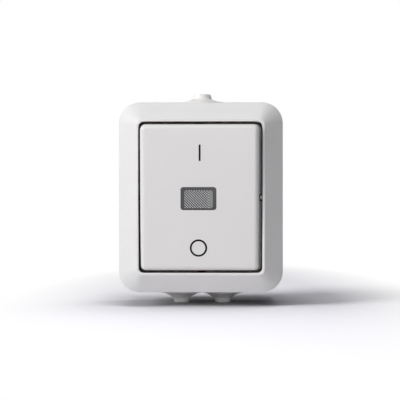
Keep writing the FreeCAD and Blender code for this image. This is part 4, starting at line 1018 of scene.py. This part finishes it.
class SWITCH_OT_window_lens(bpy.types.Operator):
    """Lens of the pilot window, with fine crossed prisms on its panel."""
    bl_idname = "switch.window_lens"
    bl_label = "Window lens"

    def execute(self, context):
        look = context.scene.switch_finish
        lens = context.scene.switch_lens
        work = bmesh.new()
        edges = self.add_prisms(work, lens)
        panel_middle, panel_size = middle_and_size(PANEL)
        flange_middle, flange_size = middle_and_size(FLANGE)
        panel = rounded_rectangle(panel_middle, panel_size, lens.panel_radius, LENS_CORNER_STEPS)
        flange = rounded_rectangle(flange_middle, flange_size, lens.flange_radius, LENS_CORNER_STEPS)
        flange_front = LENS_REAR - lens.flange_thickness
        rows = bridge(
            work,
            [(panel, LENS_FRONT), (panel, flange_front), (flange, flange_front), (flange, LENS_REAR)],
        )
        work.faces.new(rows[-1])
        front = rows[0]
        rim = [work.edges.get((front[i - 1], front[i])) for i in range(len(front))]
        bmesh.ops.triangle_fill(work, use_beauty=True, edges=edges + rim)
        mesh = tilted_mesh(work, "prism_lens")
        # The lens's finish paints the dark space behind it as grey shade, and highlight and shade on its
        # prisms.
        clear = moulded_polycarbonate(
            "polycarbonate_moulded_smoke",
            look.lens,
            deep="#101012",
            grey_behind="#2C2C2E",
            pitch_mm=lens.prism_pitch / MM,
            plain_from=panel_middle[0] + panel_size[0] / 2 - lens.plain_strip,
        )
        piece = new_piece("prism_lens", mesh, "rocker", clear)
        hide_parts("window_lens")
        return {"FINISHED"}

    @staticmethod
    def add_prisms(work, lens):
        """Grid of small crossed roofs inside the panel, plain along one side. Returns its outer edges."""
        middle, size = middle_and_size(PANEL)
        # The grid's corners stay just inside the panel's round corners.
        inset = lens.panel_radius * (1 - math.sqrt(0.5)) + LENS_SKIN
        step = lens.prism_pitch * math.sqrt(2) / RIDGE_STEPS
        columns = int((size[0] - 2 * inset) / step)
        rows = int((size[1] - 2 * inset) / step)
        plain_from = columns - int(lens.plain_strip / step)
        if rows < 1 or plain_from < 1:
            raise RuntimeError("The lens panel has no room for prisms of this pitch")
        half = RIDGE_STEPS / 2
        grid = []
        for i in range(columns + 1):
            line = []
            for j in range(rows + 1):
                on_edge = i == 0 or j == 0 or j == rows or i >= plain_from
                # The roofs run along both diagonals.
                up = abs((i + j) % RIDGE_STEPS - half) / half
                down = abs((i - j) % RIDGE_STEPS - half) / half
                drop = 0.0 if on_edge else lens.prism_depth * (1 - max(up, down))
                x = middle[0] + (i - columns / 2) * step
                z = middle[1] + (j - rows / 2) * step
                line.append(work.verts.new((x, LENS_FRONT + drop, z)))
            grid.append(line)
        for i in range(columns):
            for j in range(rows):
                work.faces.new((grid[i][j], grid[i + 1][j], grid[i + 1][j + 1], grid[i][j + 1]))
        return [edge for edge in work.edges if edge.is_boundary]


class SWITCH_OT_soft_motion(bpy.types.Operator):
    """Copies of the bellows, coil springs and clamp springs, put in the place of their hidden nodes."""
    bl_idname = "switch.soft_motion"
    bl_label = "Springs and bellows"

    def execute(self, context):
        joints = {joint["name"]: joint for joint in frame["joints"]}
        bellows = self.copy_of("actuator_seal", "housing", "seal_rubber", rides=False)
        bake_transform(bellows)
        for side in SIDES:
            self.coil("plunger_spring_" + side, "rocker", joints[f"plunger_{side}_slide"])
            self.coil("release_spring_" + side, "housing", joints[f"release_slider_{side}_slide"])
            for end in ("top", "bottom"):
                name = f"clamp_spring_{end}_{side}"
                clamp = self.copy_of(name, "housing", "spring_steel", rides=False)
                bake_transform(clamp)
        return {"FINISHED"}

    @staticmethod
    def copy_of(node, body, slot, rides=True):
        """Soft piece in the place of a node, with the node's form and finish."""
        source = frame["nodes"][node].data
        piece = bpy.data.objects.new("soft_" + node, source.copy())
        bpy.context.scene.collection.objects.link(piece)
        if rides:
            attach(piece, body)
        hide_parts(node)
        return piece

    def coil(self, node, body, joint):
        """Coil spring copied in the place of its node, which must be longer than its joint's travel."""
        piece = self.copy_of(node, body, "spring_steel")
        axis = Vector(joint["axis"]).normalized()
        reaches = [vertex.co.dot(axis) for vertex in piece.data.vertices]
        full = max(reaches) - min(reaches)
        travel = joint["range_m"][1]
        if travel >= full:
            raise RuntimeError(node + " is shorter than the travel of its joint")
        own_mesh(piece)


# Steps of each corner of the stroke, and of the whole ring.
STROKE_CORNER_STEPS = 4
RING_STEPS = 96
# The ink is sunk by this share of its thickness, so that no gap shows under it.
INK_SUNK = 0.25


class SWITCH_OT_printed_marks(bpy.types.Operator):
    """Printed on and off marks on the rocker's face."""
    bl_idname = "switch.printed_marks"
    bl_label = "Printed marks"

    def execute(self, context):
        marks = context.scene.switch_marks
        if not 0 < marks.ring_width < marks.ring_radius:
            raise RuntimeError("The ring's line must be narrower than its radius")
        ink = printed_ink("ink_pad_printed_black", "#060607", "#0C0C0D")
        root = ROCKER_FACE + marks.ink * INK_SUNK
        top = ROCKER_FACE - marks.ink
        stroke = rounded_rectangle(
            (marks.stroke_x, marks.stroke_z),
            (marks.stroke_width, marks.stroke_height),
            marks.stroke_radius,
            STROKE_CORNER_STEPS,
        )
        work = bmesh.new()
        ends = bridge(work, [(stroke, root), (stroke, top)])
        work.faces.new(ends[0])
        work.faces.new(ends[-1])
        new_piece("printed_mark_on", tilted_mesh(work, "printed_mark_on"), "rocker", ink)
        middle = (marks.ring_x, marks.ring_z)
        outer = circle(middle, marks.ring_radius, RING_STEPS)
        inner = circle(middle, marks.ring_radius - marks.ring_width, RING_STEPS)
        work = bmesh.new()
        bridge(work, [(outer, root), (outer, top), (inner, top), (inner, root), (outer, root)])
        new_piece("printed_mark_off", tilted_mesh(work, "printed_mark_off"), "rocker", ink)
        return {"FINISHED"}


# Studio

FLOOR_SIDES = 96
FLOOR_RADIUS = 2.5
SENSOR_WIDTH = 36.0
CAMERA_NEAR = 0.05
CAMERA_FAR = 10.0
# Each lamp with its way from the switch, its distance, its width and its colour. Its power is
# the setting of the same name.
LAMPS = (
    ("key", (-0.73, -0.56, 0.42), 1.3, 0.6, "#FFFFFF"),
    ("fill", (0.75, -0.60, 0.30), 1.3, 0.45, "#F6F6FF"),
    ("front", (0.05, -1.0, 0.03), 1.3, 0.30, "#FFFFFF"),
    ("top", (0.0, -0.35, 0.94), 1.0, 0.45, "#FBFBFF"),
    ("rear", (0.38, 0.30, 0.88), 1.0, 0.45, "#FBFBFF"),
)


class SWITCH_OT_studio(bpy.types.Operator):
    """White seamless floor, soft lamps and the camera."""
    bl_idname = "switch.studio"
    bl_label = "Studio"

    def execute(self, context):
        studio = context.scene.switch_studio
        if studio.distance <= 0 or studio.view_width <= 0:
            raise RuntimeError("The camera needs a distance and a view width above zero")
        self.make_floor(studio)
        self.make_sky(context.scene)
        middle = Vector((0.0, (cad_low.y + cad_high.y) / 2, 0.0))
        for name, direction, distance, width, colour in LAMPS:
            lamp = self.make_lamp(name + "_lamp", width, getattr(studio, name), colour)
            away = Vector(direction).normalized()
            lamp.location = middle + distance * away
            lamp.rotation_euler = (-away).to_track_quat("-Z", "Y").to_euler()
        self.make_camera(context.scene, studio)
        context.scene.view_settings.view_transform = "Standard"
        return {"FINISHED"}

    @staticmethod
    def make_floor(studio):
        """Wide disc of paper under the switch."""
        work = bmesh.new()
        bmesh.ops.create_circle(work, cap_ends=True, segments=FLOOR_SIDES, radius=FLOOR_RADIUS)
        mesh = finished_mesh(work, "seamless_floor")
        floor = bpy.data.objects.new("seamless_floor", mesh)
        floor.location = (0.0, 0.0, cad_low.z)
        bpy.context.scene.collection.objects.link(floor)
        paper = seamless_paper(
            "paper_seamless_white", "#F6F5F9", "#F4F3F7", contact=studio.contact, gain=studio.floor_gain
        )
        mesh.materials.append(paper)

    @staticmethod
    def make_sky(scene):
        """Dark room, which the camera and shiny or clear pieces see as white paper."""
        world = bpy.data.worlds.new("studio_sky")
        world.use_nodes = True
        tree = world.node_tree
        tree.nodes.clear()
        path = add(tree, "ShaderNodeLightPath")
        rays = {0: (path, "Is Camera Ray"), 1: (path, "Is Glossy Ray")}
        seen = add(tree, "ShaderNodeMath", rays, operation="MAXIMUM")
        rays = {0: (seen, 0), 1: (path, "Is Transmission Ray")}
        clear = add(tree, "ShaderNodeMath", rays, operation="MAXIMUM")
        white = add(tree, "ShaderNodeBackground", {"Color": linear("#FFFFFF"), "Strength": 1.0})
        # The mix's first shader is left empty, which is black.
        blend = add(tree, "ShaderNodeMixShader", {0: (clear, 0), 2: (white, 0)})
        add(tree, "ShaderNodeOutputWorld", {"Surface": (blend, 0)})
        scene.world = world

    @staticmethod
    def make_lamp(name, width, watts, colour):
        """Square soft lamp."""
        data = bpy.data.lights.new(name, "AREA")
        data.size = width
        data.energy = watts
        data.color = linear(colour)[:3]
        lamp = bpy.data.objects.new(name, data)
        bpy.context.scene.collection.objects.link(lamp)
        return lamp

    @staticmethod
    def make_camera(scene, studio):
        """Long lens, level with the switch's middle."""
        data = bpy.data.cameras.new("studio_camera")
        data.sensor_width = SENSOR_WIDTH
        data.lens = SENSOR_WIDTH * studio.distance / studio.view_width
        data.clip_start = CAMERA_NEAR
        data.clip_end = CAMERA_FAR
        camera = bpy.data.objects.new("studio_camera", data)
        aim = Vector((studio.aim_x, -studio.edge_depth, studio.aim_z))
        away = Vector((math.sin(studio.turn), -math.cos(studio.turn), 0.0))
        camera.location = aim + studio.distance * away
        camera.rotation_euler = (-away).to_track_quat("-Z", "Y").to_euler()
        scene.collection.objects.link(camera)
        scene.camera = camera


OPERATORS = (
    SWITCH_OT_shell_finish,
    SWITCH_OT_soft_finish,
    SWITCH_OT_insert_finish,
    SWITCH_OT_metal_finish,
    SWITCH_OT_lamp_finish,
    SWITCH_OT_window_lens,
    SWITCH_OT_soft_motion,
    SWITCH_OT_printed_marks,
    SWITCH_OT_studio,
)


class SWITCH_PT_looks(bpy.types.Panel):
    """Settings and steps of the switch's looks."""
    bl_idname = "SWITCH_PT_looks"
    bl_label = "Outdoor switch"
    bl_space_type = "VIEW_3D"
    bl_region_type = "UI"
    bl_category = "Switch"

    def draw(self, context):
        for name, group in SETTINGS.items():
            box = self.layout.box()
            settings = getattr(context.scene, name)
            for key in group.__annotations__:
                box.prop(settings, key)
        for operator in OPERATORS:
            self.layout.operator(operator.bl_idname)


def register():
    for kind in (*SETTINGS.values(), *OPERATORS, SWITCH_PT_looks):
        bpy.utils.register_class(kind)
    for name, group in SETTINGS.items():
        setattr(bpy.types.Scene, name, bpy.props.PointerProperty(type=group))


def unregister():
    for name in SETTINGS:
        delattr(bpy.types.Scene, name)
    for kind in reversed((*SETTINGS.values(), *OPERATORS, SWITCH_PT_looks)):
        bpy.utils.unregister_class(kind)


def main():
    register()
    for operator in OPERATORS:
        group, name = operator.bl_idname.split(".")
        getattr(getattr(bpy.ops, group), name)()
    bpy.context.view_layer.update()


if __name__ == "__main__":
    main()
